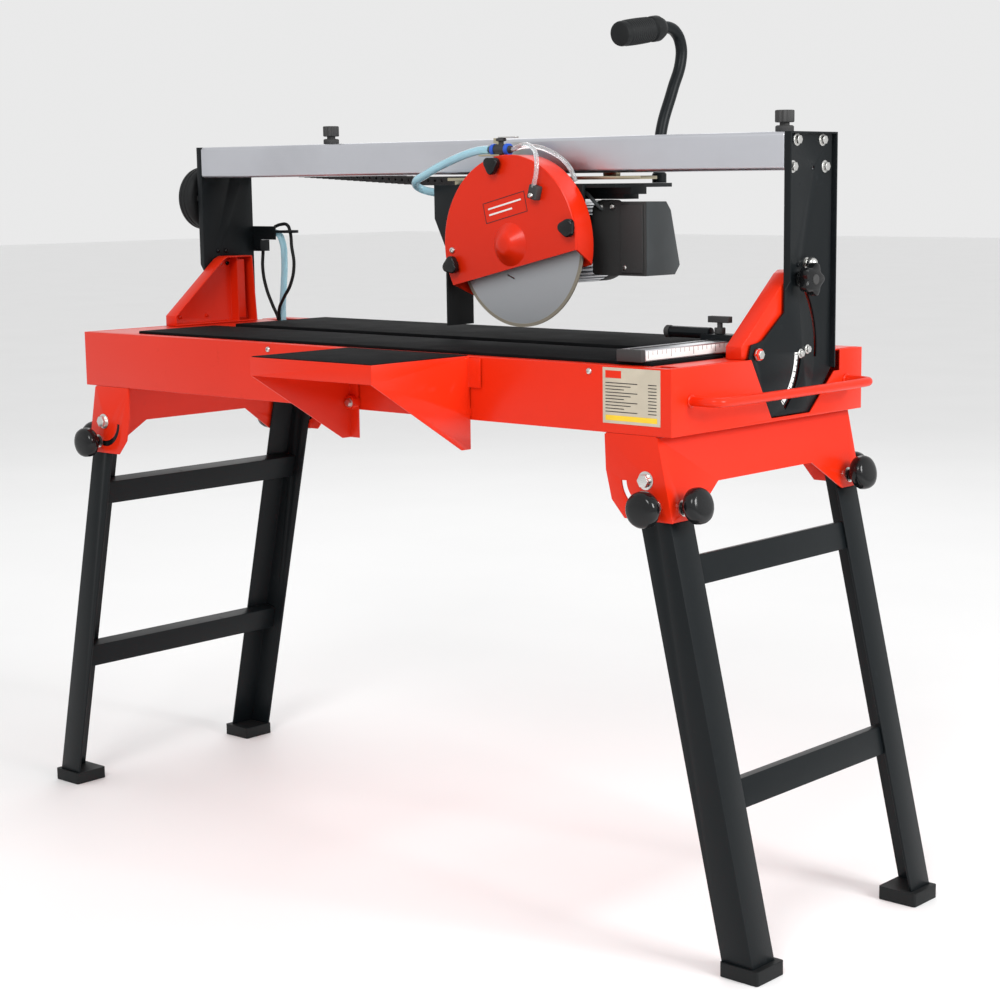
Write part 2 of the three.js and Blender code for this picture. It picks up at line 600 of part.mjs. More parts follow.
function sawHead() {
  place('carriage', carriage(), STEEL);
  for (const [name, x] of Object.entries(ROLLER.stations)) place(name, rollerPair(x), PLASTIC);
  place('head_arm', headArm(), BLACK_STEEL);
  place('motor_housing', motor(), ALUMINIUM);
  place('switch_box', switchBox(), PLASTIC);
  place('power_switch', powerSwitch(), PLASTIC);
  place('blade_guard', bladeGuard(), RED);
  place('guard_cover', guardCover(), RED);
  place('saw_blade', sawBlade(), STEEL);
  place('blade_spindle', bladeSpindle(), STEEL);
  place('splash_flap', join(box(36, 40, -32, 26, 836, 904.7), box(36, 40, -32, 0.2, 904, 930)), RUBBER);
  place('water_valve', waterValve(), PLASTIC);
  place('handle_tube', handleTube(), BLACK_STEEL);
  place('handle_grip', handleGrip(), RUBBER);
}

// ---------------------------------------------------------------- side table, ruler and guide
function sideTable() {
  const { left, right, front, back, top, skirt, toe } = SIDE;
  const deckPlate = box(left, right, front, back, top - 6, top);
  const frontSkirt = box(left, right, front, front + SHEET, skirt, top - 1);
  const cheek = [[front, top - 1], [front, skirt], [back - 18, toe], [back, toe], [back, top - 1]];
  const cheeks = [left, right - SHEET].map((x) => plate('X', cheek, x, x + SHEET));
  const toes = [left, right - 20].map((x) => box(x, x + 20, back - SHEET, back, toe, top - 1));
  const hooks = [left - 22, right - 1].map((x) => box(x, x + 23, back - SHEET, back, 769, 811));
  const pads = [left + 10, right - 10].map((x) => rod('Y', 11, back - SHEET - 8, TRAY.side * -1 - GAP, x, 733));
  return join(deckPlate, frontSkirt, ...cheeks, ...toes, ...hooks, ...pads);
}

function angleGuide() {
  const saddle = cut(
    box(RULER.left - 8, RULER.right + 8, -14, 14, 822, 841),
    box(RULER.left - 0.5, RULER.right + 0.5, -15, 15, 820, RULER.high + 0.5));
  return cut(join(saddle, rod('X', 8.2, 446, RULER.left, 0, 841.5)), rod('Z', 4.5, 830, 860, 540, 0));
}

function angleGuideKnob() {
  return join(rod('Z', 4, RULER.high + 0.6, 858, 540, 0), rod('Z', 8, 841.4, 850, 540, 0),
    box(522, 558, -5, 5, 857, 866));
}

function tableFittings() {
  place('side_table', sideTable(), RED);
  place('ruler', box(RULER.left, RULER.right, RULER.front, RULER.rear, RULER.low, RULER.high), ALUMINIUM);
  place('angle_guide', angleGuide(), BLACK_STEEL);
  place('angle_guide_knob', angleGuideKnob(), PLASTIC);
}

// ---------------------------------------------------------------- water lines
// From a clip at the left of the head, out in a loop and up to the valve.
const SUPPLY_HOSE = [
  [-20, 20, 1040], [-38, 18, 1041], [-56, 6, 1048], [-50, -8, 1056], [-20, -16, 1068], [30, -19, 1086],
  [84, -18.5, 1101], [104, -18, 1104], [119.2, -18, 1104]];
// From the valve over the guard to its front face, and behind to its rear face.
const FRONT_TUBE = [
  [166, -18, 1104], [190, -22, 1110], [216, -32, 1107], [238, -46, 1092], [243, -52, 1070], [236, -51, 1048]];
const REAR_TUBE = [[166, -18, 1104], [196, -14, 1108], [232, -5, 1099], [258, 4, 1078], [268, 8, 1056]];
const MOTOR_CABLE = [
  [284, 58, 1012], [283, 47, 1016], [279, 37, 1026], [270, 33, 1037], [256, 32, 1042.5], [246, 32, 1042.5]];
const RISER_HOSE = [
  [-576, 161, 970], [-569, 162.5, 967], [-562, 165, 952], [-562, 168, 920], [-569, 171, 875], [-576, 173, 835],
  [-577, 174, 812], [-577, 174, 774]];
const PUMP_CABLE = [
  [-617, 166, 935.6], [-616, 163, 905], [-606, 161, 870], [-592, 163, 838], [-584, 168, 815], [-583, 169, 800],
  [-583, 169, 774]];
const SWITCH_CABLE = [
  [-576, 160, 980], [-562, 162, 984], [-547, 164, 983], [HOSE_RING.x, HOSE_RING.y, 971], [-538, 165, 945],
  [-531, 163, 912], [-538, 160, 878], [-556, 158, 852], [-572, 161, 832], [-578.5, 166, 812], [-579, 166.4, 800],
  [-579, 166.4, 774]];

function waterLines() {
  place('supply_hose', tube(SUPPLY_HOSE, 6.3, 8, 16), BLUE_HOSE);
  place('guard_tubes', join(tube(FRONT_TUBE, 3.5, 8, 10), tube(REAR_TUBE, 3.5, 8, 9)), BLUE_HOSE);
  const riser = join(tube(RISER_HOSE, 6, 8, 14), tube(PUMP_CABLE, 3, 8, 14), tube(SWITCH_CABLE, 3, 8, 20));
  place('riser_lines', riser, BLUE_HOSE);
  const pump = join(
    plate('Z', roundedRectangle(-602, -552, 150, 205, 8), TRAY.bottom + SHEET + GAP, 764, [], 4),
    rod('Z', 9, 763, 773.6, -578, 176));
  place('water_pump', pump, PLASTIC);
}

place('water_tray', waterTray(), RED);
place('carry_handle', carryHandle(), RED);
tables();
legs();
bridge();
sawHead();
tableFittings();
waterLines();

export default object;
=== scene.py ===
import logging
import math
from dataclasses import dataclass
from enum import Enum
from typing import Any, Callable, Iterable, Sequence

import bpy
from mathutils import Matrix, Vector


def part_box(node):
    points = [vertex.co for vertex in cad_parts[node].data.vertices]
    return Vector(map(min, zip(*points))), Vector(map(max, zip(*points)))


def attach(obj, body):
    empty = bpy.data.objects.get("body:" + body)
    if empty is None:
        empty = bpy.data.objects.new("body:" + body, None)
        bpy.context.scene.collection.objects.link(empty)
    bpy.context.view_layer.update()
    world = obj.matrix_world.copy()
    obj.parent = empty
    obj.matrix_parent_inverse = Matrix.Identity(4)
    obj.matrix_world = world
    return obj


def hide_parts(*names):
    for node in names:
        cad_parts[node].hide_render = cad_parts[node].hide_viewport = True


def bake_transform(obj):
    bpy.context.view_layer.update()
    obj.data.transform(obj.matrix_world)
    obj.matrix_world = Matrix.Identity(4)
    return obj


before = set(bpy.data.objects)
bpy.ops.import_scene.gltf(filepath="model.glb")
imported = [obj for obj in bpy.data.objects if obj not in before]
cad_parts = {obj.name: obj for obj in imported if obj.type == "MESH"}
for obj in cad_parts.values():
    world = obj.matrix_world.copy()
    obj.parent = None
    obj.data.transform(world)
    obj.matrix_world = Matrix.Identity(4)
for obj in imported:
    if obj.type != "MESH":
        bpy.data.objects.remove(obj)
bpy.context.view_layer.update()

LOG = logging.getLogger("tile_cutter")
MM = 0.001
TRAY_LOW, TRAY_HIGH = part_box("water_tray")
TRAY_MIDDLE = (TRAY_LOW + TRAY_HIGH) / 2
Point = Sequence[float]
Piece = bpy.types.Object
ENDS = (("left", -1), ("right", 1))
ROWS = (("front", -1), ("rear", 1))


def at(x: float, y: float, z: float) -> Vector:
    """Turns a place in the tray's own frame into the scene's.

    Args:
        x: Millimetres right of the tray's middle.
        y: Millimetres behind the tray's middle.
        z: Millimetres above the floor.

    Returns:
        The same place in metres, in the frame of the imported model.
    """
    return Vector((TRAY_MIDDLE.x + x * MM, TRAY_MIDDLE.y + y * MM, z * MM))


def polar(a: float, b: float, radius: float, degrees: float) -> tuple[float, float]:
    """Finds a point on a circle.

    Args:
        a: The centre's first coordinate.
        b: The centre's second coordinate.
        radius: The circle's radius.
        degrees: The angle from the first axis.

    Returns:
        The point's two coordinates.
    """
    angle = math.radians(degrees)
    return a + radius * math.cos(angle), b + radius * math.sin(angle)


# ---- shader values


class Wave:
    """A shader value or colour that takes Python arithmetic."""

    def __init__(self, tree: bpy.types.NodeTree, socket: bpy.types.NodeSocket) -> None:
        """Wraps one output socket of a node tree."""
        self.tree = tree
        self.socket = socket

    def math(self, operation: str, first: Any, second: Any = 0.0) -> "Wave":
        """Adds one Math node.

        Args:
            operation: The node's operation.
            first: A number or a value.
            second: A number or a value.

        Returns:
            The node's result.
        """
        made = self.tree.nodes.new("ShaderNodeMath")
        made.operation = operation
        for slot, given in enumerate((first, second)):
            if isinstance(given, Wave):
                self.tree.links.new(given.socket, made.inputs[slot])
            else:
                made.inputs[slot].default_value = given
        return Wave(self.tree, made.outputs[0])

    def __add__(self, other: Any) -> "Wave":
        """Adds a number or a value."""
        return self.math("ADD", self, other)

    def __rsub__(self, other: Any) -> "Wave":
        """Takes this value away from a number."""
        return self.math("SUBTRACT", other, self)

    def __mul__(self, other: Any) -> "Wave":
        """Multiplies by a number or a value."""
        return self.math("MULTIPLY", self, other)

    __radd__ = __add__
    __rmul__ = __mul__


class Recipe:
    """A material under construction, with its Principled shader."""

    def __init__(self, name: str) -> None:
        """Starts a material with a shader and the place on the piece."""
        self.material = bpy.data.materials.new(name)
        self.material.use_nodes = True
        self.tree = self.material.node_tree
        self.shader = self.tree.nodes["Principled BSDF"]
        self.place = self.node("ShaderNodeTexCoord", out="Object")

    def node(self, kind: str, settings: dict[str, Any] | None = None, out: Any = 0, **values: Any) -> Wave:
        """Adds any node.

        Args:
            kind: The node's type.
            settings: Attributes that are set first. A ramp's stops go under "stops".
            out: The output that is returned, by name or number.
            **values: What each input gets, with _ for a space in its name.

        Returns:
            The wanted output.
        """
        made = self.tree.nodes.new(kind)
        for key, given in (settings or {}).items():
            if key == "stops":
                self.set_stops(made.color_ramp, given)
            else:
                setattr(made, key, given)
        for key, given in values.items():
            self.feed(made.inputs[key.replace("_", " ")], given)
        return Wave(self.tree, made.outputs[out])

    def set_stops(self, ramp: bpy.types.ColorRamp, stops: Sequence[tuple[float, Point]]) -> None:
        """Fills a colour ramp.

        Args:
            ramp: The ramp, with its two first stops.
            stops: Each stop's position and colour.
        """
        while len(ramp.elements) < len(stops):
            ramp.elements.new(1.0)
        for element, (position, color) in zip(ramp.elements, stops):
            element.position = position
            element.color = (*color, 1.0)

    def feed(self, socket: bpy.types.NodeSocket, given: Any) -> None:
        """Sets or links one input.

        Args:
            socket: The input.
            given: A number, a colour or a value.
        """
        if isinstance(given, Wave):
            self.tree.links.new(given.socket, socket)
        elif isinstance(given, tuple) and len(given) == 3 and len(socket.default_value) == 4:
            socket.default_value = (*given, 1.0)
        else:
            socket.default_value = given

    def surface(self, **values: Any) -> None:
        """Sets or links inputs of the Principled shader, with _ for a space."""
        for key, given in values.items():
            self.feed(self.shader.inputs[key.replace("_", " ")], given)

    def noise(self, scale: float, detail: float = 3.0, stretch: Point = (1, 1, 1)) -> Wave:
        """Adds a noise over the piece.

        Args:
            scale: Patches per metre.
            detail: How many finer layers it has.
            stretch: How much finer it is along each axis.

        Returns:
            The noise, about 0.5 on average.
        """
        place = self.node("ShaderNodeMapping", Vector=self.place, Scale=tuple(stretch))
        return self.node("ShaderNodeTexNoise", Vector=place, Scale=scale, Detail=detail)

    def ramp(self, value: Wave, low: float, high: float) -> Wave:
        """Spreads part of a value's range over 0 to 1.

        Args:
            value: The value.
            low: What becomes 0.
            high: What becomes 1.

        Returns:
            The clamped result.
        """
        return self.node("ShaderNodeMapRange", Value=value, From_Min=low, From_Max=high)

    def mix(self, share: Any, first: Any, second: Any) -> Wave:
        """Mixes two colours.

        Args:
            share: How much of the second one shows.
            first: A colour or a value.
            second: A colour or a value.

        Returns:
            The mixed colour.
        """
        made = self.tree.nodes.new("ShaderNodeMix")
        made.data_type = "RGBA"
        for slot, given in ((0, share), (6, first), (7, second)):
            self.feed(made.inputs[slot], given)
        return Wave(self.tree, made.outputs[2])

    def bump(self, height: Wave, depth: float, strength: float = 1.0) -> None:
        """Lays a relief on the surface.

        Args:
            height: The relief, 0 to 1.
            depth: Its depth in metres.
            strength: How much of it shows.
        """
        self.surface(Normal=self.node("ShaderNodeBump", Height=height, Distance=depth, Strength=strength))


# ---- finishes


@dataclass(frozen=True)
class PowderCoat:
    """Baked powder paint on folded steel: orange peel, faint dust and rubbed spots."""

    name: str
    color: Point
    rubbed: Point
    roughness: float = 0.33
    coat: float = 0.1
    gloss: float = 0.3
    peel: float = 0.00012

    def make(self) -> bpy.types.Material:
        """Builds the material."""
        r = Recipe(self.name)
        dust = r.ramp(r.noise(5.0, 6.0), 0.45, 0.8)
        spots = r.ramp(r.noise(55.0, 8.0), 0.66, 0.74)
        shade = r.mix(dust * 0.35, self.color, tuple(c * 0.8 + 0.004 for c in self.color))
        r.surface(Base_Color=r.mix(spots * 0.25, shade, self.rubbed),
            Roughness=dust * 0.12 + spots * 0.15 + self.roughness,
            Coat_Weight=self.coat, Coat_Roughness=0.12, Specular_IOR_Level=self.gloss)
        r.bump(r.noise(520.0, 2.0) + r.noise(140.0, 2.0) * 0.6, self.peel, 0.5)
        return r.material


@dataclass(frozen=True)
class DrawnMetal:
    """Bare metal with fine lines along one direction, and a faint stain."""

    name: str
    color: Point
    roughness: float
    stretch: Point
    lines: float = 900.0
    depth: float = 0.00004

    def make(self) -> bpy.types.Material:
        """Builds the material."""
        r = Recipe(self.name)
        lines = r.noise(self.lines, 3.0, self.stretch)
        stain = r.ramp(r.noise(7.0, 5.0), 0.4, 0.75)
        dull = tuple(c * 0.82 for c in self.color)
        r.surface(Base_Color=r.mix(stain * 0.5, self.color, dull), Metallic=1.0,
            Roughness=lines * 0.16 + stain * 0.1 + (self.roughness - 0.08))
        r.bump(lines, self.depth, 0.5)
        return r.material


@dataclass(frozen=True)
class DiscSteel:
    """Ground steel of a round blade: rings about the arbor, and a gritty diamond rim."""

    name: str
    centre: Vector
    rim: float

    def make(self) -> bpy.types.Material:
        """Builds the material."""
        r = Recipe(self.name)
        offset = tuple(-c for c in self.centre)
        local = r.node("ShaderNodeMapping", Vector=r.place, Location=offset)
        flat = r.node("ShaderNodeVectorMath", {"operation": "MULTIPLY"}, Vector=local)
        flat.socket.node.inputs[1].default_value = (1, 0, 1)
        radius = r.node("ShaderNodeVectorMath", {"operation": "LENGTH"}, Vector=flat, out=1)
        rings = r.node("ShaderNodeTexNoise", {"noise_dimensions": "1D"}, W=radius, Scale=2600.0, Detail=3.0)
        grit = r.noise(900.0, 4.0)
        edge = r.ramp(radius, self.rim - 0.0004, self.rim)
        steel = r.mix(rings * 0.35, (0.47, 0.49, 0.51), (0.33, 0.34, 0.36))
        r.surface(Base_Color=r.mix(edge, steel, (0.34, 0.31, 0.25)), Metallic=0.9 - edge * 0.3,
            Roughness=rings * 0.18 + edge * 0.3 + 0.34)
        r.bump(rings * (1 - edge) * 0.3 + grit * edge, 0.00012, 0.6)
        return r.material


@dataclass(frozen=True)
class Moulded:
    """Grained plastic or rubber, with a little wear in the sheen."""

    name: str
    color: Point
    roughness: float
    grain: float
    depth: float
    metallic: float = 0.0
    gloss: float = 0.3

    def make(self) -> bpy.types.Material:
        """Builds the material."""
        r = Recipe(self.name)
        patches = r.ramp(r.noise(16.0, 6.0), 0.4, 0.75)
        lighter = tuple(c * 1.35 + 0.006 for c in self.color)
        r.surface(Base_Color=r.mix(patches * 0.6, self.color, lighter), Metallic=self.metallic,
            Specular_IOR_Level=self.gloss, Roughness=patches * 0.14 + (self.roughness - 0.05))
        r.bump(r.noise(self.grain, 3.0), self.depth, 0.7)
        return r.material


@dataclass(frozen=True)
class Tubing:
    """Soft clear tube with coloured water in it."""

    name: str
    color: Point
    clear: float

    def make(self) -> bpy.types.Material:
        """Builds the material."""
        r = Recipe(self.name)
        streaks = r.noise(60.0, 4.0)
        pale = tuple(min(1.0, c * 1.2) for c in self.color)
        r.surface(Base_Color=r.mix(streaks, self.color, pale), Roughness=streaks * 0.12 + 0.12,
            Transmission_Weight=self.clear, IOR=1.4, Coat_Weight=0.4)
        r.bump(streaks, 0.0001, 0.3)
        return r.material


BLADE_CENTRE = (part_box("saw_blade")[0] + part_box("saw_blade")[1]) / 2
BLADE_RADIUS = (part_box("saw_blade")[1].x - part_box("saw_blade")[0].x) / 2


class Finish(Enum):
    """The finishes of the machine."""

    RED = PowderCoat("red_powder_coat", (0.68, 0.021, 0.003), (0.5, 0.03, 0.012), 0.3, 0.06, 0.2)
    BLACK = PowderCoat("black_powder_coat", (0.006, 0.008, 0.0092), (0.022, 0.026, 0.028), 0.36, 0.0, 0.15)
    BEAM = DrawnMetal("beam_aluminium", (0.6, 0.61, 0.65), 0.36, (0.006, 1, 1))
    RULER = DrawnMetal("ruler_aluminium", (0.62, 0.63, 0.65), 0.33, (1, 0.01, 1))
    CAST = Moulded("motor_aluminium", (0.5, 0.51, 0.53), 0.42, 420.0, 0.0002, 1.0)
    ZINC = DrawnMetal("zinc_plate", (0.66, 0.66, 0.64), 0.28, (1, 1, 1), 500.0, 0.00003)
    TAN_ZINC = DrawnMetal("yellow_zinc_plate", (0.5, 0.45, 0.32), 0.34, (1, 1, 1), 400.0, 0.00003)
    BLADE = DiscSteel("blade_steel", BLADE_CENTRE, BLADE_RADIUS - 5 * MM)
    MAT = Moulded("table_rubber", (0.0045, 0.005, 0.0055), 0.8, 700.0, 0.0003, 0.0, 0.05)
    RUBBER = Moulded("grip_rubber", (0.007, 0.008, 0.0085), 0.58, 520.0, 0.0002, 0.0, 0.2)
    PLASTIC = Moulded("black_plastic", (0.0045, 0.005, 0.0055), 0.34, 900.0, 0.00006, 0.0, 0.15)
    GREY = Moulded("grey_plastic", (0.07, 0.08, 0.084), 0.4, 800.0, 0.00008, 0.0, 0.3)
    KNOB = Moulded("glossy_plastic", (0.005, 0.0055, 0.006), 0.18, 600.0, 0.00003, 0.0, 0.3)
    PRINT = Moulded("printed_plate", (0.47, 0.42, 0.33), 0.4, 900.0, 0.00003)
    WHITE = Moulded("white_scale", (0.78, 0.78, 0.76), 0.45, 900.0, 0.00003)
    INK = Moulded("black_ink", (0.02, 0.02, 0.022), 0.5, 900.0, 0.00002)
    YELLOW = Moulded("yellow_ink", (0.75, 0.5, 0.03), 0.5, 900.0, 0.00002)
    BLUE = Moulded("blue_collar", (0.02, 0.09, 0.5), 0.3, 900.0, 0.00003)
    HOSE = Tubing("blue_hose", (0.4, 0.68, 0.78), 0.35)
    CLEAR = Tubing("clear_tube", (0.8, 0.85, 0.88), 0.8)

    @property
    def material(self) -> bpy.types.Material:
        """The finish's material, made on first use."""
        return bpy.data.materials.get(self.value.name) or self.value.make()


# ---- the workbench


class Bench:
    """Shapes meshes with Blender's own operators. Sizes are millimetres in the tray's frame."""

    @staticmethod
    def only(obj: Piece) -> None:
        """Selects one object and makes it active."""
        for other in bpy.context.selected_objects:
            other.select_set(False)
        obj.select_set(True)
        bpy.context.view_layer.objects.active = obj

    @classmethod
    def edit(cls, obj: Piece, *steps: Callable[[], Any]) -> Piece:
        """Runs editing operators on the whole mesh.

        Args:
            obj: The object.
            *steps: The operators, each as a call without arguments.

        Returns:
            The same object.
        """
        cls.only(obj)
        bpy.ops.object.mode_set(mode="EDIT")
        bpy.ops.mesh.select_all(action="SELECT")
        for step in steps:
            step()
        bpy.ops.object.mode_set(mode="OBJECT")
        return obj

    @classmethod
    def tidy(cls, obj: Piece, merge: float = 0.00002) -> Piece:
        """Merges double points and turns the faces outwards.

        Args:
            obj: The object.
            merge: The largest gap that is merged.

        Returns:
            The same object.
        """
        return cls.edit(obj, lambda: bpy.ops.mesh.remove_doubles(threshold=merge),
            lambda: bpy.ops.mesh.normals_make_consistent(inside=False))

    @classmethod
    def modify(cls, obj: Piece, kind: str, **settings: Any) -> Piece:
        """Adds a modifier and applies it.

        Args:
            obj: The object.
            kind: The modifier's type.
            **settings: Its settings.

        Returns:
            The same object.
        """
        cls.only(obj)
        modifier = obj.modifiers.new(kind.lower(), kind)
        for key, given in settings.items():
            setattr(modifier, key, given)
        bpy.ops.object.modifier_apply(modifier=modifier.name)
        return obj

    @classmethod
    def soften(cls, obj: Piece, width: float, segments: int = 2, angle: float = 30) -> Piece:
        """Rounds the sharp edges and smooths the shading between them.

        Args:
            obj: The object.
            width: The rounding's width in millimetres, or 0 for none.
            segments: Its number of steps.
            angle: The smallest turn, in degrees, that counts as an edge.

        Returns:
            The same object.
        """
        if width:
            cls.modify(obj, "BEVEL", width=width * MM, segments=segments, limit_method="ANGLE",
                angle_limit=math.radians(angle), harden_normals=False, use_clamp_overlap=True)
        cls.only(obj)
        bpy.ops.object.shade_smooth_by_angle(angle=math.radians(angle + 5))
        return obj

    @classmethod
    def settle(cls, obj: Piece, turn: Matrix, place: Vector) -> Piece:
        """Turns and moves a mesh, and leaves its object at the origin.

        Args:
            obj: The object, drawn about the origin.
            turn: The turn.
            place: Where its origin goes.

        Returns:
            The same object.
        """
        obj.data.transform(Matrix.Translation(place) @ turn.to_4x4())
        obj.data.update()
        return obj

    @classmethod
    def box(cls, name: str, low: Point, high: Point, round_off: float = 0.5) -> Piece:
        """Makes a block with rounded edges.

        Args:
            name: The piece's name.
            low: Its lowest corner.
            high: Its highest corner.
            round_off: The rounding's width.

        Returns:
            The block.
        """
        a, b = at(*low), at(*high)
        bpy.ops.mesh.primitive_cube_add(size=1, location=(a + b) / 2)
        obj = bpy.context.object
        cls.only(obj)
        obj.name = name
        obj.scale = b - a
        bpy.ops.object.transform_apply(location=True, rotation=True, scale=True)
        return cls.soften(obj, round_off, 3)

    @classmethod
    def turned(cls, name: str, profile: Sequence[Point], axis: Matrix, place: Vector, steps: int = 48,
            round_off: float = 0.0) -> Piece:
        """Spins a profile into a solid.

        Args:
            name: The piece's name.
            profile: Radius and height of each point, in millimetres.
            axis: The turn that takes +Z to the piece's axis.
            place: Where the profile's zero height goes.
            steps: The number of steps around.
            round_off: The rounding of its edges.

        Returns:
            The solid.
        """
        mesh = bpy.data.meshes.new(name)
        points = [(radius * MM, 0, height * MM) for radius, height in profile]
        mesh.from_pydata(points, [(i, i + 1) for i in range(len(points) - 1)], [])
        obj = bpy.data.objects.new(name, mesh)
        bpy.context.scene.collection.objects.link(obj)
        cls.edit(obj, lambda: bpy.ops.mesh.spin(steps=steps, angle=math.tau, center=(0, 0, 0),
            axis=(0, 0, 1)))
        cls.tidy(obj)
        cls.soften(obj, round_off)
        return cls.settle(obj, axis, place)

    @classmethod
    def plate(cls, name: str, loops: Sequence[Sequence[Point]], axis: Matrix, place: Vector, thick: float,
            round_off: float = 0.3) -> Piece:
        """Cuts a plate from a flat curve, with any inner loops as holes.

        Args:
            name: The piece's name.
            loops: The outline and the holes, in millimetres.
            axis: The turn that takes +Z to the plate's normal.
            place: Where the drawing's origin goes, on the plate's lower face.
            thick: Its thickness.
            round_off: The rounding of its edges.

        Returns:
            The plate.
        """
        curve = bpy.data.curves.new(name, "CURVE")
        curve.dimensions, curve.fill_mode = "2D", "BOTH"
        curve.extrude = (thick / 2 - round_off) * MM
        curve.bevel_depth, curve.bevel_resolution, curve.offset = round_off * MM, 2, -round_off * MM
        for loop in loops:
            spline = curve.splines.new("POLY")
            spline.points.add(len(loop) - 1)
            for point, (a, b) in zip(spline.points, loop):
                point.co = (a * MM, b * MM, 0, 1)
            spline.use_cyclic_u = True
        obj = cls.meshed(name, curve)
        obj.data.transform(Matrix.Translation((0, 0, thick * MM / 2)))
        cls.tidy(obj)
        cls.soften(obj, 0)
        return cls.settle(obj, axis, place)

    @classmethod
    def tube(cls, name: str, points: Iterable[Vector], radius: float, around: int = 8) -> Piece:
        """Runs a round tube through points.

        Args:
            name: The piece's name.
            points: The route, in metres.
            radius: The tube's radius in millimetres.
            around: Steps in each quarter of its section.

        Returns:
            The tube as a closed mesh.
        """
        route = list(points)
        curve = bpy.data.curves.new(name, "CURVE")
        curve.dimensions = "3D"
        curve.bevel_depth, curve.bevel_resolution, curve.use_fill_caps = radius * MM, around, True
        spline = curve.splines.new("BEZIER")
        spline.bezier_points.add(len(route) - 1)
        for knot, place in zip(spline.bezier_points, route):
            knot.co = place
            knot.handle_left_type = knot.handle_right_type = "AUTO"
        spline.resolution_u = 14
        return cls.soften(cls.tidy(cls.meshed(name, curve)), 0)

    @classmethod
    def meshed(cls, name: str, curve: bpy.types.Curve) -> Piece:
        """Turns a curve into a mesh object.

        Args:
            name: The object's name.
            curve: The curve.

        Returns:
            The mesh object.
        """
        obj = bpy.data.objects.new(name, curve)
        bpy.context.scene.collection.objects.link(obj)
        cls.only(obj)
        bpy.ops.object.convert(target="MESH")
        return bpy.context.object

    @classmethod
    def worked(cls, node: str, round_off: float = 0.8, segments: int = 2) -> Piece:
        """Copies a CAD node and gives the copy rounded edges.

        Args:
            node: The node's name.
            round_off: The rounding's width.
            segments: Its number of steps.

        Returns:
            The copy, which stands for the node.
        """
        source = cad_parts[node]
        obj = bpy.data.objects.new(node + "_shell", source.data.copy())
        obj.data.materials.clear()
        bpy.context.scene.collection.objects.link(obj)
        cls.edit(obj, lambda: bpy.ops.mesh.remove_doubles(threshold=0.00001),
            lambda: bpy.ops.mesh.dissolve_limited(angle_limit=math.radians(1)))
        cls.soften(obj, round_off, segments)
        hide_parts(node)
        return obj

    @classmethod
    def joined(cls, name: str, parts: Sequence[Piece]) -> Piece:
        """Joins pieces into one object.

        Args:
            name: The whole's name.
            parts: The pieces.

        Returns:
            The whole.
        """
        cls.only(parts[0])
        for part in parts:
            part.select_set(True)
        bpy.ops.object.join()
        whole = bpy.context.object
        whole.name = name
        return whole

    @classmethod
    def copied(cls, obj: Piece, name: str, move: Matrix) -> Piece:
        """Copies a piece with its own mesh.

        Args:
            obj: The piece.
            name: The copy's name.
            move: How the copy's mesh is moved.

        Returns:
            The copy.
        """
        made = bpy.data.objects.new(name, obj.data.copy())
        bpy.context.scene.collection.objects.link(made)
        made.data.transform(move)
        return made


def dress(obj: Piece, finish: Finish, body: str, *nodes: str) -> Piece:
    """Gives a piece its finish and the body that it rides on.

    Args:
        obj: The piece.
        finish: Its finish.
        body: The CAD body.
        *nodes: CAD nodes that it stands for.

    Returns:
        The same piece.
    """
    obj.data.materials.clear()
    obj.data.materials.append(finish.material)
    if nodes:
        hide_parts(*nodes)
    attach(obj, body)
    LOG.info("%s: %s on %s, %d faces", obj.name, finish.name, body, len(obj.data.polygons))
    return obj


def rework(node: str, finish: Finish, body: str, round_off: float, segments: int = 2) -> None:
    """Dresses a CAD node's own shape with rounded edges.

    Args:
        node: The CAD node.
        finish: The piece's finish.
        body: The CAD body.
        round_off: The rounding's width.
        segments: Its number of steps.
    """
    dress(Bench.worked(node, round_off, segments), finish, body)


def lobed(count: int, outer: float, inner: float, steps: int = 8) -> list[Point]:
    """Draws a knob's outline with soft lobes.

    Args:
        count: The number of lobes.
        outer: The radius over the lobes.
        inner: The radius between them.
        steps: Points in each lobe.

    Returns:
        The outline about the origin.
    """
    total = count * steps
    middle, swing = (outer + inner) / 2, (outer - inner) / 2
    return [polar(0, 0, middle + swing * math.cos(math.tau * i / steps), 360 * i / total)
        for i in range(total)]


def ring(radius: float, steps: int = 24, a: float = 0, b: float = 0) -> list[Point]:
    """Draws a circle as a loop of points.

    Args:
        radius: Its radius.
        steps: The number of points.
        a: The centre's first coordinate.
        b: The centre's second coordinate.

    Returns:
        The loop.
    """
    return [polar(a, b, radius, 360 * i / steps) for i in range(steps)]


def rectangle(a0: float, a1: float, b0: float, b1: float) -> list[Point]:
    """Draws a rectangle.

    Args:
        a0: Its lowest first coordinate.
        a1: Its highest first coordinate.
        b0: Its lowest second coordinate.
        b1: Its highest second coordinate.

    Returns:
        The four corners.
    """
    return [(a0, b0), (a1, b0), (a1, b1), (a0, b1)]


def towards(x: float, y: float, z: float) -> Matrix:
    """Makes the turn that takes +Z to a direction.

    Args:
        x: The direction along X.
        y: The direction along Y.
        z: The direction along Z.

    Returns:
        The turn.
    """
    return Vector((x, y, z)).to_track_quat("Z", "Y").to_matrix().to_4x4()


FRONT, REAR = towards(0, -1, 0), towards(0, 1, 0)
LEFT, RIGHT = towards(-1, 0, 0), towards(1, 0, 0)
UP = towards(0, 0, 1)
END_FACE = {-1: LEFT, 1: RIGHT}
ROW_FACE = {-1: FRONT, 1: REAR}


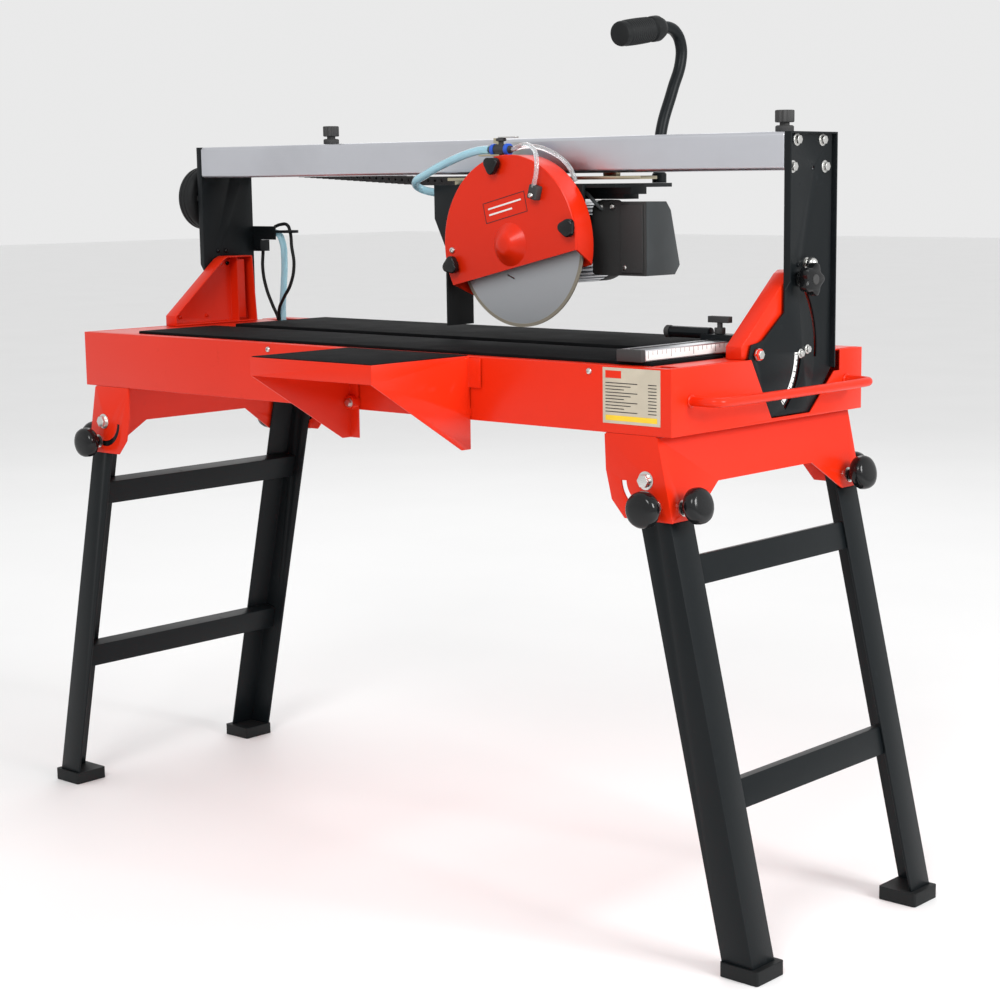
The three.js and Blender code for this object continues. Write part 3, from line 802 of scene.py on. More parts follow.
@dataclass
class Fasteners:
    """Zinc-plated bolts, screws and washers, each one modelled anew where it goes."""

    count: int = 0

    def hex_bolt(self, facing: Matrix, place: Vector, size: float, body: str) -> None:
        """Puts a hex head on a washer.

        Args:
            facing: Where the head points.
            place: The middle of the washer's lower face.
            size: The head's width across its corners.
            body: The CAD body.
        """
        self.count += 1
        washer = Bench.turned(f"washer_{self.count}", [
            (0, 0), (size * 0.66, 0), (size * 0.66, 1.1), (size * 0.6, 1.4), (0, 1.4)], facing, place)
        lift = place + facing.to_3x3() @ Vector((0, 0, 1.4 * MM))
        head = Bench.plate(f"hex_{self.count}", [ring(size / 2, 6)], facing, lift, size * 0.36, 0.5)
        dress(Bench.joined(f"hex_bolt_{self.count}", [washer, head]), Finish.ZINC, body)

    def cap_screw(self, facing: Matrix, place: Vector, size: float, body: str,
            finish: Finish = Finish.ZINC) -> None:
        """Puts a button-head screw with a hexagon socket.

        Args:
            facing: Where the head points.
            place: The middle of the head's lower face.
            size: The head's diameter.
            body: The CAD body.
            finish: The head's finish.
        """
        self.count += 1
        r = size / 2
        dress(Bench.turned(f"cap_screw_{self.count}", [
            (0, 0), (r, 0), (r, r * 0.25), (r * 0.8, r * 0.6), (r * 0.45, r * 0.75), (r * 0.4, r * 0.3),
            (0, r * 0.25)], facing, place, 24), finish, body)


FASTENERS = Fasteners()


# ---- tray and table fittings


@dataclass
class Tray:
    """The water tray with its tables, data plate, handle, ruler and guide."""

    body: str = "tray"
    front: float = -228
    plate: Sequence[float] = (514, 612, 735, 810)
    print_rows: int = 10
    front_screws: Sequence[float] = (-161, 161, 490)
    handle_ends: Sequence[float] = (-186, 186)
    handle_height: float = 767
    side_pads: Sequence[float] = (32, 260)
    pad_height: float = 733
    tick_count: int = 40

    def build(self) -> None:
        """Makes every piece of the tray."""
        rework("water_tray", Finish.RED, self.body, 0.9)
        for node in ("front_table", "rear_table"):
            rework(node, Finish.MAT, self.body, 1.2, 3)
        self.data_plate()
        for x in self.front_screws:
            FASTENERS.cap_screw(FRONT, at(x, self.front, 803), 9, self.body)
        self.carry_handle()
        self.side_table()
        self.ruler()
        self.guide()
        rework("water_pump", Finish.PLASTIC, self.body, 2, 3)

    def data_plate(self) -> None:
        """Makes the plain data plate, with bars where the print would be."""
        x0, x1, z0, z1 = self.plate
        sheet = Bench.plate("data_plate", [rectangle(*self.plate)], FRONT, at(0, self.front, 0), 0.9, 0.2)
        self.print_on(sheet, Finish.PRINT)
        rows = [(z1 - 21 - 4.3 * i, 0.62 - 0.13 * (i % 3)) for i in range(self.print_rows)]
        bars = [self.bar(f"plate_bar_{i}", x0 + 5, x0 + 5 + (x1 - x0 - 10) * share, z, z + 1.1)
            for i, (z, share) in enumerate(rows)]
        bars += [self.bar(f"plate_value_{i}", x1 - 20, x1 - 6, z, z + 1.1) for i, (z, _) in enumerate(rows)]
        self.print_on(Bench.joined("plate_bars", bars), Finish.INK)
        self.print_on(self.bar("plate_red_block", x0 + 5, x0 + 32, z1 - 14, z1 - 4), Finish.RED)
        self.print_on(self.bar("plate_yellow_band", x0 + 5, x1 - 5, z0 + 4, z0 + 11), Finish.YELLOW)

    def bar(self, name: str, x0: float, x1: float, z0: float, z1: float) -> Piece:
        """Makes one printed patch on the data plate.

        Args:
            name: Its name.
            x0: Its left side.
            x1: Its right side.
            z0: Its lower side.
            z1: Its upper side.

        Returns:
            The patch.
        """
        return Bench.plate(name, [rectangle(x0, x1, z0, z1)], FRONT, at(0, self.front - 0.8, 0), 0.4, 0.05)

    def print_on(self, piece: Piece, finish: Finish) -> None:
        """Dresses a flat piece of the front plate."""
        dress(piece, finish, self.body)

    def carry_handle(self) -> None:
        """Makes the bent tube with its welded end discs."""
        low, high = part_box("carry_handle")
        radius = 6.5
        root, reach, z = low.x, high.x - radius * MM, self.handle_height * MM
        ys = [at(0, y, 0).y for y in self.handle_ends]
        bend = 16 * MM
        route = [(root, ys[0]), (reach - bend, ys[0]), (reach - bend * 0.3, ys[0] + bend * 0.3),
            (reach, ys[0] + bend), (reach, ys[1] - bend), (reach - bend * 0.3, ys[1] - bend * 0.3),
            (reach - bend, ys[1]), (root, ys[1])]
        bar = Bench.tube("handle_bar", [Vector((x, y, z)) for x, y in route], radius)
        edge = [(0, 0), (8.6, 0), (8.6, 1.6), (7, 2.6), (0, 2.6)]
        discs = [Bench.turned(f"handle_disc_{i}", edge, RIGHT, Vector((root, y, z)))
            for i, y in enumerate(ys)]
        dress(Bench.joined("carry_handle_bar", [bar, *discs]), Finish.RED, self.body, "carry_handle")

    def side_table(self) -> None:
        """Makes the side table, its mat and its adjusting screws."""
        rework("side_table", Finish.RED, self.body, 0.9)
        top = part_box("side_table")[1].z / MM
        mat = Bench.box("side_table_mat", (24, -421.5, top), (268, -231, top + 1.2), 0.5)
        dress(mat, Finish.MAT, self.body)
        for i, x in enumerate(self.side_pads):
            pad = Bench.turned(f"side_pad_{i}", [(0, 0), (10, 0), (10, 6), (8, 8), (0, 8)], FRONT,
                at(x, self.front - 0.4, self.pad_height), 32, 0.4)
            dress(pad, Finish.RUBBER, self.body)
            FASTENERS.hex_bolt(FRONT, at(x, self.front - 12.4, self.pad_height), 11, self.body)

    def ruler(self) -> None:
        """Makes the ruler bar with its end cap, white face and ticks."""
        rework("ruler", Finish.RULER, self.body, 0.8, 3)
        low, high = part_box("ruler")
        left, x, top, bottom = low.x / MM, high.x / MM, high.z / MM, low.z / MM
        cap = Bench.box("ruler_cap", (left - 0.1, -211.5, bottom), (x + 0.1, -203, top + 0.1), 0.8)
        dress(cap, Finish.PLASTIC, self.body)
        face = Bench.box("ruler_face", (x, -202, bottom + 2), (x + 0.5, 210, top - 2), 0.1)
        dress(face, Finish.WHITE, self.body)
        ticks = []
        for i in range(self.tick_count):
            rise = (top - bottom - 4) * (0.8 if i % 5 == 0 else 0.45)
            y = -198 + 10 * i
            ticks.append(Bench.box(f"tick_{i}", (x + 0.4, y, top - 2 - rise), (x + 0.7, y + 0.7, top - 2), 0))
        dress(Bench.joined("ruler_ticks", ticks), Finish.INK, self.body)
        strip = Bench.box("ruler_strip", (left + 14, -200, top), (left + 20, 208, top + 0.5), 0.1)
        dress(strip, Finish.INK, self.body)

    def guide(self) -> None:
        """Makes the angle guide's saddle and bar and its T-knob."""
        rework("angle_guide", Finish.BLACK, "guide", 0.7)
        low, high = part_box("angle_guide")
        end = Bench.turned("guide_bar_cap", [(0, 0), (8.9, 0), (8.9, 7), (7.6, 8.6), (0, 8.6)], LEFT,
            Vector((low.x + 7 * MM, (low.y + high.y) / 2, 841.5 * MM)), 32)
        dress(end, Finish.PLASTIC, "guide")
        rework("angle_guide_knob", Finish.PLASTIC, "guide_knob", 1.6, 3)


# ---- folding stand


KNOB_PROFILE = [
    (0, 3), (8, 3), (8, 11), (10, 13), (17, 14.5), (22, 17), (24.4, 20.5), (25, 25), (24.4, 31), (22.4, 35),
    (19, 37.2), (13, 38.3), (7, 38.8), (0, 39)]


@dataclass(frozen=True)
class Corner:
    """One corner of the stand: its end and row, with their signs along X and Y."""

    end: str
    side: int
    row: str
    sign: int

    @property
    def name(self) -> str:
        """The start of the names of the corner's pieces."""
        return f"{self.row}_{self.end}"


@dataclass
class Stand:
    """Two folding ladder legs in their brackets, with all clamp knobs."""

    face: float = 228
    pivot: Point = (587, 662)
    knob: Point = (38, -66)
    panel_foot: float = 606.5
    slope: float = 0.2217
    end_knob: Point = (200, 625)
    gap: float = 0.3

    def build(self) -> None:
        """Makes both ends."""
        for end, side in ENDS:
            rework(f"{end}_leg_bracket", Finish.RED, "tray", 0.8)
            for level in ("upper", "lower"):
                rework(f"{end}_{level}_rung", Finish.BLACK, f"{end}_legs", 2.2, 3)
            for row, sign in ROWS:
                corner = Corner(end, side, row, sign)
                rework(f"{corner.name}_leg", Finish.BLACK, f"{end}_legs", 1.0)
                rework(f"{corner.name}_foot", Finish.RUBBER, f"{end}_legs", 2.2, 3)
                self.slot_knob(corner)
                self.end_panel_knob(corner)
                place = at(side * self.pivot[0], sign * self.face, self.pivot[1])
                FASTENERS.hex_bolt(ROW_FACE[sign], place, 19, "tray")

    def clamp_knob(self, corner: Corner, kind: str, turn: Matrix, place: Vector) -> None:
        """Makes a mushroom knob with its washer.

        Args:
            corner: Where it is.
            kind: What it clamps: the slot or the end.
            turn: The turn that takes +Z outwards.
            place: The middle of its washer's face.
        """
        name = f"{corner.name}_{kind}_clamp"
        head = Bench.turned(name + "_knob", KNOB_PROFILE, turn, place, 56)
        dress(head, Finish.KNOB, name, f"{corner.name}_{kind}_knob")
        washer = Bench.turned(name + "_knob_washer", [
            (0, 0), (11, 0), (11, 1.6), (10.4, 2), (6, 2), (6, 3.2), (0, 3.2)], turn, place, 32)
        dress(washer, Finish.ZINC, name)

    def slot_knob(self, corner: Corner) -> None:
        """Makes the knob that clamps a leg in its curved slot.

        Args:
            corner: Where it is.
        """
        x, z = polar(*self.pivot, *self.knob)
        place = at(corner.side * x, corner.sign * (self.face + self.gap), z)
        self.clamp_knob(corner, "slot", ROW_FACE[corner.sign], place)

    def end_panel_knob(self, corner: Corner) -> None:
        """Makes the knob on the leaning end panel.

        Args:
            corner: Where it is.
        """
        tilt = math.atan(self.slope)
        outward = Vector((corner.side * math.cos(tilt), 0, math.sin(tilt)))
        y, z = self.end_knob
        place = at(corner.side * (self.panel_foot + 95 * self.slope), corner.sign * y, z)
        self.clamp_knob(corner, "end", towards(*outward), place + outward * self.gap * MM)


# ---- tilting bridge


@dataclass
class Bridge:
    """Gussets, uprights and the guide beam, with the tilt fittings."""

    hinge: Point = (-31.5, 818)
    lock_radius: float = 142.6
    lock_angle: float = 44
    strip: Sequence[float] = (91, 98, -50, -2)
    beam_bolts: Sequence[Point] = ((60, 1110), (123, 1110), (50, 1073), (130, 1073))

    def build(self) -> None:
        """Makes every piece of the bridge."""
        for end, side in ENDS:
            rework(f"{end}_gusset", Finish.RED, "tray", 0.9)
            rework(f"{end}_upright", Finish.BLACK, "bridge", 0.7)
            facing = END_FACE[side]
            for y, z in self.beam_bolts:
                FASTENERS.hex_bolt(facing, at(side * 626.5, y, z), 13, "bridge")
            FASTENERS.hex_bolt(facing, at(side * 629.5, *self.hinge), 13, "tray")
            y, z = polar(*self.hinge, 105, -3)
            FASTENERS.hex_bolt(facing, at(side * 626.9, y, z), 10, "tray")
            FASTENERS.hex_bolt(facing, at(side * 626.5, y + 17, z + 5), 10, "bridge")
            self.degree_strip(end, side)
        for y in (66, 84):
            FASTENERS.cap_screw(RIGHT, at(-624, y, 939), 8, "bridge", Finish.KNOB)
        for y, finish in ((64, Finish.ZINC), (81, Finish.KNOB)):
            FASTENERS.cap_screw(RIGHT, at(-618.5, y, 917), 8, "tray", finish)
        for y in (-30, 30):
            FASTENERS.cap_screw(RIGHT, at(-618.5, y, 826), 7, "tray", Finish.RED)
        rework("guide_beam", Finish.BEAM, "bridge", 1.6, 3)
        rework("hose_bracket", Finish.BLACK, "bridge", 0.6)
        self.lock_knob()
        self.plunger()
        for end in ("left", "right"):
            self.stop_knob(end)
        self.wheel()
        self.chain()

    def degree_strip(self, end: str, side: int) -> None:
        """Makes the white curved strip with plain degree ticks.

        Args:
            end: Which end.
            side: The end's sign along X.
        """
        inner, outer, low, high = self.strip
        steps, tick_count = 20, 10
        arc = [low + (high - low) * i / steps for i in range(steps + 1)]
        turn = Matrix(((0, 0, side), (side, 0, 0), (0, 1, 0)))
        loop = [(outer, degrees) for degrees in arc] + [(inner, degrees) for degrees in reversed(arc)]
        dress(Bench.plate(f"{end}_degree_strip", [self.about_hinge(side, loop)], turn,
            at(side * 626.6, 0, 0), 0.5, 0.1), Finish.WHITE, "bridge")
        ticks = []
        for i in range(tick_count):
            middle = low + 1.5 + (high - low - 3) * i / (tick_count - 1)
            tip, root = outer - 0.5, outer - 0.5 - (5.5 if i % 3 == 0 else 3)
            corners = [(tip, middle - 0.4), (tip, middle + 0.4), (root, middle + 0.4), (root, middle - 0.4)]
            ticks.append(Bench.plate(f"{end}_tick_{i}", [self.about_hinge(side, corners)], turn,
                at(side * 627.05, 0, 0), 0.3, 0.05))
        dress(Bench.joined(f"{end}_degree_ticks", ticks), Finish.INK, "bridge")

    def about_hinge(self, side: int, points: Sequence[Point]) -> list[Point]:
        """Draws points about the hinge on an end face.

        Args:
            side: The end's sign along X.
            points: Each point's radius and angle in degrees.

        Returns:
            The points in the face's own drawing.
        """
        places = [polar(*self.hinge, radius, degrees) for radius, degrees in points]
        return [(side * y, z) for y, z in places]

    def lock_knob(self) -> None:
        """Makes the star knob that locks the tilt."""
        y, z = polar(*self.hinge, self.lock_radius, self.lock_angle)
        collar = Bench.turned("tilt_lock_collar", [(0, 0), (11, 0), (11, 2), (9, 3), (9, 13), (0, 13)], RIGHT,
            at(627, y, z), 32, 0.3)
        star = Bench.plate("tilt_lock_star", [lobed(5, 24, 17.5, 12)], RIGHT, at(639, y, z), 14, 2.5)
        dress(Bench.joined("tilt_star_knob", [collar, star]), Finish.KNOB, "tilt_knob", "tilt_lock_knob")
        dress(Bench.turned("tilt_lock_cap", [(0, 0), (7.5, 0), (7, 1.4), (4, 2.2), (0, 2.4)], RIGHT,
            at(653, y, z), 32), Finish.PLASTIC, "tilt_knob")

    def plunger(self) -> None:
        """Makes the ball-ended index plunger on the right upright."""
        ball = [(0, 18.5)] + [polar(0, 10, 8.5, 90 - 15 * i) for i in range(1, 10)]
        dress(Bench.turned("index_plunger", [(0, 0), (8, 0), (8, 2), (4, 2.4), (4, 3.5), *reversed(ball)],
            RIGHT, at(626.6, 85, 939), 36), Finish.ZINC, "bridge")
        FASTENERS.cap_screw(RIGHT, at(626.5, 66, 937), 6, "bridge", Finish.BLACK)

    def stop_knob(self, end: str) -> None:
        """Makes a fluted stop knob with its collar.

        Args:
            end: Which stop.
        """
        low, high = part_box(f"{end}_stop_knob")
        place = Vector(((low.x + high.x) / 2, (low.y + high.y) / 2, low.z))
        collar = Bench.turned(f"{end}_stop_collar", [
            (0, 0), (12.4, 0), (13, 1), (13, 7), (11, 8.4), (7, 8.4), (7, 12.5), (11, 13), (0, 13)],
            UP, place, 40)
        head = Bench.plate(f"{end}_stop_flutes", [lobed(12, 13.6, 12.2, 8)], UP,
            place + Vector((0, 0, 12.4 * MM)), 17, 1.6)
        dress(Bench.joined(f"{end}_stop_head", [collar, head]), Finish.PLASTIC, f"{end}_stop",
            f"{end}_stop_knob")

    def wheel(self) -> None:
        """Makes the transport wheel with a ribbed tyre and a bored web."""
        low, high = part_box("transport_wheel")
        middle = (low + high) / 2
        place = Vector((high.x, middle.y, middle.z))
        tyre = Bench.turned("wheel_tyre", [
            (37, 3), (48, 1), (52, 2), (55, 5), (56, 9), (56, 13), (55, 14), (55, 16), (56, 17), (56, 22),
            (55, 23), (55, 25), (56, 26), (55, 31), (52, 34), (48, 35), (37, 33), (37, 3)], LEFT, place, 72)
        web = Bench.plate("wheel_web", [ring(38, 64), ring(12.5, 32), *[
            ring(6.2, 20, *polar(0, 0, 25, 60 * i)) for i in range(6)]], LEFT,
            place + Vector((-9 * MM, 0, 0)), 18, 1)
        hub = Bench.turned("wheel_hub", [(6.6, 0), (14, 0), (14, 36), (6.6, 36), (6.6, 0)], LEFT, place,
            40, 0.6)
        dress(Bench.joined("wheel_rolling", [tyre, web, hub]), Finish.RUBBER, "wheel", "transport_wheel")
        FASTENERS.hex_bolt(LEFT, at(-685, 77.5, 1032), 15, "bridge")

    def chain(self) -> None:
        """Makes the cable chain from one link, copied along its run."""
        route = [(-606, 1077), (-560, 1076.5), (-230, 1058.5), (-40, 1058.5)]
        pitch = 16.0
        shape = [(-8.6, -6.5), (5.5, -6.5), (5.5, -7.3), (8.2, -7.3),
            (8.2, 7.3), (5.5, 7.3), (5.5, 6.5), (-8.6, 6.5)]
        link = Bench.plate("chain_link", [shape, ring(2.2, 12)], FRONT, Vector((0, 0, 0)), 20, 0.7)
        link.data.transform(Matrix.Translation((0, 10 * MM, 0)))
        links = []
        for (x0, z0), (x1, z1) in zip(route, route[1:]):
            length = math.hypot(x1 - x0, z1 - z0)
            lean = Matrix.Rotation(-math.atan2(z1 - z0, x1 - x0), 4, "Y")
            count = round(length / pitch)
            for i in range(count):
                share = (i + 0.5) / count
                place = at(x0 + (x1 - x0) * share, 190, z0 + (z1 - z0) * share)
                links.append(Bench.copied(link, "link", Matrix.Translation(place) @ lean))
        bpy.data.objects.remove(link)
        foot = Bench.box("chain_foot", (-612, 150.4, 1072), (-600, 184, 1083), 0.8)
        dress(Bench.joined("cable_chain_links", [*links, foot]), Finish.PLASTIC, "bridge", "cable_chain")


# ---- saw head


@dataclass
class SawHead:
    """The carriage, the plunging arm and all that it carries."""

    hub: Point = (176, 963)
    guard_radius: float = 133
    guard_front: float = -38
    chord: float = 13
    cover_knobs: Sequence[Point] = ((152, 1081), (299, 989), (64, 930))
    handle_x: float = 300

    def build(self) -> None:
        """Makes the whole saw."""
        rework("carriage", Finish.TAN_ZINC, "carriage", 0.6)
        for end in ("left", "right"):
            rework(f"{end}_roller", Finish.PLASTIC, f"{end}_rollers", 0.5)
        rework("head_arm", Finish.BLACK, "head", 0.8)
        self.motor()
        self.switch_box()
        self.guard()
        self.cover()
        self.blade()
        rework("splash_flap", Finish.RUBBER, "head", 0.8, 3)
        self.valve()
        self.handle()

    def motor(self) -> None:
        """Makes the finned motor, its end bells and its fan cowl."""
        x, z = self.hub
        count, crest, root = 44, 63.5, 57.5
        fins = [polar(0, 0, radius, 360 * (i + share) / count) for i in range(count)
            for share, radius in ((-0.26, crest), (0.26, crest), (0.3, root), (0.7, root))]
        barrel = Bench.plate("motor_fins", [fins], REAR, at(x, 20, z), 132, 0.5)
        bell = Bench.turned("motor_bell", [
            (9, 7), (52, 7), (54, 12), (63, 16), (64, 18), (64, 24), (40, 24), (40, 30), (9, 30), (9, 7)],
            REAR, at(x, 0, z), 72, 0.6)
        dress(Bench.joined("motor_body", [barrel, bell]), Finish.CAST, "head", "motor_housing")
        cowl = Bench.turned("motor_cowl", [
            (0, 150), (62, 150), (63, 152), (63, 183), (59, 188), (52, 190), (49, 190), (48.4, 188),
            (40, 188), (39.6, 190), (33, 190), (32.6, 188), (24, 188), (23.6, 190), (14, 190), (13.6, 188),
            (0, 188)],
            REAR, at(x, 0, z), 72)
        dress(cowl, Finish.PLASTIC, "head")
        dress(Bench.box("motor_neck", (x + 50, 62, 935), (270, 132, 1005), 2), Finish.PLASTIC, "head")

    def switch_box(self) -> None:
        """Makes the grey switch box, its black mounting face, screws and rocker."""
        rework("switch_box", Finish.GREY, "head", 1.5, 3)
        low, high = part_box("switch_box")
        x0, x1, z0, z1 = 270.3, high.x / MM, low.z / MM, 1025
        outline = [(x0 - 6, z0 + 3), (x0 - 2, z0), (x1, z0), (x1, z1), (x0 + 50, z1), (x0 + 44, z1 + 3),
            (x0 + 30, z1 + 3.4), (x0 + 12, z1 + 3.4), (x0 + 2, z1), (x0 - 6, z1 - 9)]
        face = Bench.plate("switch_face", [outline], FRONT, at(0, 53.9, 0), 4, 1.2)
        step = Bench.plate("switch_cover", [rectangle(x0 + 50, x1 - 3, z0 + 4, z1 - 4)], FRONT,
            at(0, 50.2, 0), 3, 1.2)
        dress(Bench.joined("switch_front", [face, step]), Finish.PLASTIC, "head")
        for x, z in ((x0 + 12, z1 - 7), (x0 + 34, z1 - 7), (x0 + 58, z0 + 12)):
            FASTENERS.cap_screw(FRONT, at(x, 49.6, z), 9, "head")
        rework("power_switch", Finish.RED, "switch", 1.0, 3)

    def slice_off(self, obj: Piece, slope: float) -> None:
        """Cuts away what lies below the guard's slanted lower edge.

        Args:
            obj: The guard piece.
            slope: How far the cut falls to the rear, in degrees.
        """
        lean, rise = math.radians(slope), math.radians(self.chord)
        normal = (-math.cos(lean) * math.sin(rise), math.sin(lean), math.cos(lean) * math.cos(rise))
        place = at(192.5, self.guard_front, 930)
        Bench.edit(obj, lambda: bpy.ops.mesh.bisect(plane_co=place, plane_no=normal, use_fill=True,
            clear_inner=True, clear_outer=False))

    def guard(self) -> None:
        """Makes the guard's drum and rear wall."""
        x, z = self.hub
        r, front = self.guard_radius, self.guard_front
        shell = Bench.turned("guard_drum", [
            (30, 0), (r - 1, 0), (r, -1), (r, front), (r - 2.5, front), (r - 2.5, -2.5), (30, -2.5), (30, 0)],
            REAR, at(x, 0, z), 96)
        self.slice_off(shell, 30)
        dress(Bench.soften(Bench.tidy(shell), 0), Finish.RED, "head", "blade_guard")

    def cover(self) -> None:
        """Makes the guard's front cover with its cone, blank badge and knobs."""
        x, z = self.hub
        r = self.guard_radius
        disc = Bench.turned("cover_disc", [(0, 0), (r, 0), (r, 1.8), (r - 1, 2.6), (0, 2.6)], FRONT,
            at(x, self.guard_front - 0.3, z), 96)
        self.slice_off(disc, 0)
        Bench.soften(Bench.tidy(disc), 0)
        cone = Bench.turned("cover_cone", [
            (0, 1), (33, 1), (32.4, 3), (31, 4), (17, 16), (14, 18.4), (8, 19.6), (0, 20)], FRONT,
            at(x + 3, self.guard_front, z), 64)
        dress(Bench.joined("guard_cover_panel", [disc, cone]), Finish.RED, "head", "guard_cover")
        front = self.guard_front - 2.9
        frame_loops = [rectangle(-43, 43, -15.5, 15.5), rectangle(-42, 42, -14.5, 14.5)]
        tilt = Matrix.Rotation(math.radians(self.chord), 4, "Z")
        middle = at(170, front, 1018)
        dress(Bench.plate("blank_badge", frame_loops, FRONT @ tilt, middle, 0.5, 0.1), Finish.INK, "head")
        bars = [Bench.plate(f"badge_bar_{i}", [rectangle(-34, 34 - 20 * i, 3.5 - 9 * i, 6 - 9 * i)],
            FRONT @ tilt, middle, 0.4, 0.1) for i in range(2)]
        dress(Bench.joined("badge_bars", bars), Finish.WHITE, "head")
        for i, (kx, kz) in enumerate(self.cover_knobs):
            self.cover_knob(i, kx, front, kz)
        FASTENERS.cap_screw(FRONT, at(60, front, 953), 10, "head")

    def cover_knob(self, number: int, x: float, y: float, z: float) -> None:
        """Makes one three-cornered knob of the cover.

        Args:
            number: Its number.
            x: Its place along X.
            y: The cover's front face.
            z: Its height.
        """
        spin = Matrix.Rotation(math.radians(30 + 25 * number), 4, "Z")
        stem = Bench.turned(f"cover_knob_stem_{number}", [(0, 0), (8, 0), (7, 4), (0, 4)], FRONT,
            at(x, y, z), 24)
        head = Bench.plate(f"cover_knob_head_{number}", [lobed(3, 14.5, 11, 16)], FRONT @ spin,
            at(x, y - 3.5, z), 11, 2.2)
        dress(Bench.joined(f"cover_knob_{number}", [stem, head]), Finish.KNOB, "head")

    def blade(self) -> None:
        """Makes the slotted blade and the spindle with its flanges and nut."""
        x, z = self.hub
        r = BLADE_RADIUS / MM
        centre = at(x, -14, z)
        disc = Bench.turned("diamond_blade", [
            (13.2, -1.2), (r - 5, -1.2), (r - 4.6, -1.5), (r, -1.5), (r, 1.5), (r - 4.6, 1.5), (r - 5, 1.2),
            (13.2, 1.2), (13.2, -1.2)], REAR, centre, 120)
        cutters = []
        for i in range(3):
            slot = Bench.box(f"slot_{i}", (x - 8, -20, z + 52), (x + 8, -8, z + 54), 0)
            turn = Matrix.Rotation(math.radians(120 * i - 159), 4, "Y")
            slot.data.transform(Matrix.Translation(centre) @ turn @ Matrix.Translation(-centre))
            cutters.append(slot)
        cutter = Bench.joined("slot_cutters", cutters)
        Bench.modify(disc, "BOOLEAN", operation="DIFFERENCE", object=cutter, solver="EXACT")
        bpy.data.objects.remove(cutter)
        dress(Bench.soften(disc, 0), Finish.BLADE, "blade", "saw_blade")
        dress(Bench.turned("spindle_flanges", [
            (0, -31), (7, -31), (7, -27), (11, -26), (11, -20), (26, -19), (28, -17), (28, -15.4),
            (12.8, -15.4), (12.8, -12.6), (28, -12.6), (28, -11), (26, -9), (14, -8), (8, 0), (8, 28),
            (0, 28)], REAR, at(x, 0, z), 48), Finish.ZINC, "blade", "blade_spindle")

    def valve(self) -> None:
        """Makes the water valve with its brackets, and the block at the tube's end."""
        strap = Bench.box("valve_strap", (104, 7, 1052.4), (122, 9.5, 1122), 0.5)
        foot = Bench.box("valve_foot", (104, 7, 1052.4), (122, 40, 1055), 0.5)
        shelf = Bench.box("valve_shelf", (104, -27, 1094.5), (146, 9.5, 1097), 0.5)
        dress(Bench.joined("valve_bracket", [strap, foot, shelf]), Finish.TAN_ZINC, "head", "water_valve")
        barrel = Bench.turned("valve_barrel", [
            (0, 120), (5, 120), (6, 122), (7.4, 132), (7.4, 154), (6, 160), (5, 165), (0, 165)], RIGHT,
            at(0, -18, 1104), 40)
        block = Bench.box("valve_block", (135, -24.5, 1097), (151, -11.5, 1112), 1.2)
        stem = Bench.turned("valve_stem", [(0, 0), (4, 0), (4, 4), (8, 5), (8, 8), (7, 9), (0, 9)], UP,
            at(143, -18, 1112), 32)
        dress(Bench.joined("valve_body", [barrel, block, stem]), Finish.PLASTIC, "head")
        for i, x in enumerate((126, 154)):
            collar = Bench.turned(f"valve_collar_{i}", [
                (4, 0), (8.8, 0), (9.2, 1), (9.2, 5), (8.8, 6), (4, 6), (4, 0)], RIGHT, at(x, -18, 1104), 40)
            dress(collar, Finish.BLUE, "head")
        lever = Bench.box("valve_lever", (139, -21.5, 1121), (176, -14.5, 1123.4), 0.8)
        dress(lever, Finish.ZINC, "head")
        lug = Bench.box("tube_block", (227, -54, 1030), (244, -41, 1051), 2)
        middle = at(235.5, -47, 1040.5)
        lug.data.transform(Matrix.Translation(middle) @ Matrix.Rotation(math.radians(16), 4, "Y")
            @ Matrix.Translation(-middle))
        dress(lug, Finish.PLASTIC, "head")
        FASTENERS.cap_screw(FRONT, at(233.5, -54, 1036), 8, "head")

    def handle(self) -> None:
        """Makes the bent handle tube, its collar and the barrel grip."""
        path = [(168, 1052.3), (168, 1092), (173, 1130), (201, 1192), (222, 1238), (221, 1262), (208, 1279),
            (190, 1285), (172, 1283.6)]
        tube = Bench.tube("handle_bend", [at(self.handle_x, y, z) for y, z in path], 9)
        base = Bench.turned("handle_base", [(0, 0), (11, 0), (11, 13), (9.5, 15), (0, 15)], UP,
            at(self.handle_x, 168, 1052.2), 40)
        dress(Bench.joined("handle_bar_tube", [tube, base]), Finish.BLACK, "head", "handle_tube")
        start, end = at(self.handle_x, 72, 1270), at(self.handle_x, 171.6, 1283.5)
        length = (end - start).length / MM
        last = 48
        ribs = [(18.4 + 0.75 * (0.5 - 0.5 * math.cos(math.tau * i / 4)) + 0.5 * math.sin(math.pi * i / last),
            13 + i * 1.15) for i in range(last + 1)]
        profile = [(0, 0), (14, 0), (17.5, 1.5), (18.6, 5), (18.6, 11), (17.6, 12), *ribs, (17, 70.5),
            (17, 75), (18.8, 76.5), (19.4, 80), (19.4, 90), (18, 93), (15.5, length - 1),
            (14.5, length), (0, length)]
        grip = Bench.turned("barrel_grip", profile, towards(*(end - start)), start, 56)
        dress(grip, Finish.RUBBER, "head", "handle_grip")


# ---- water lines


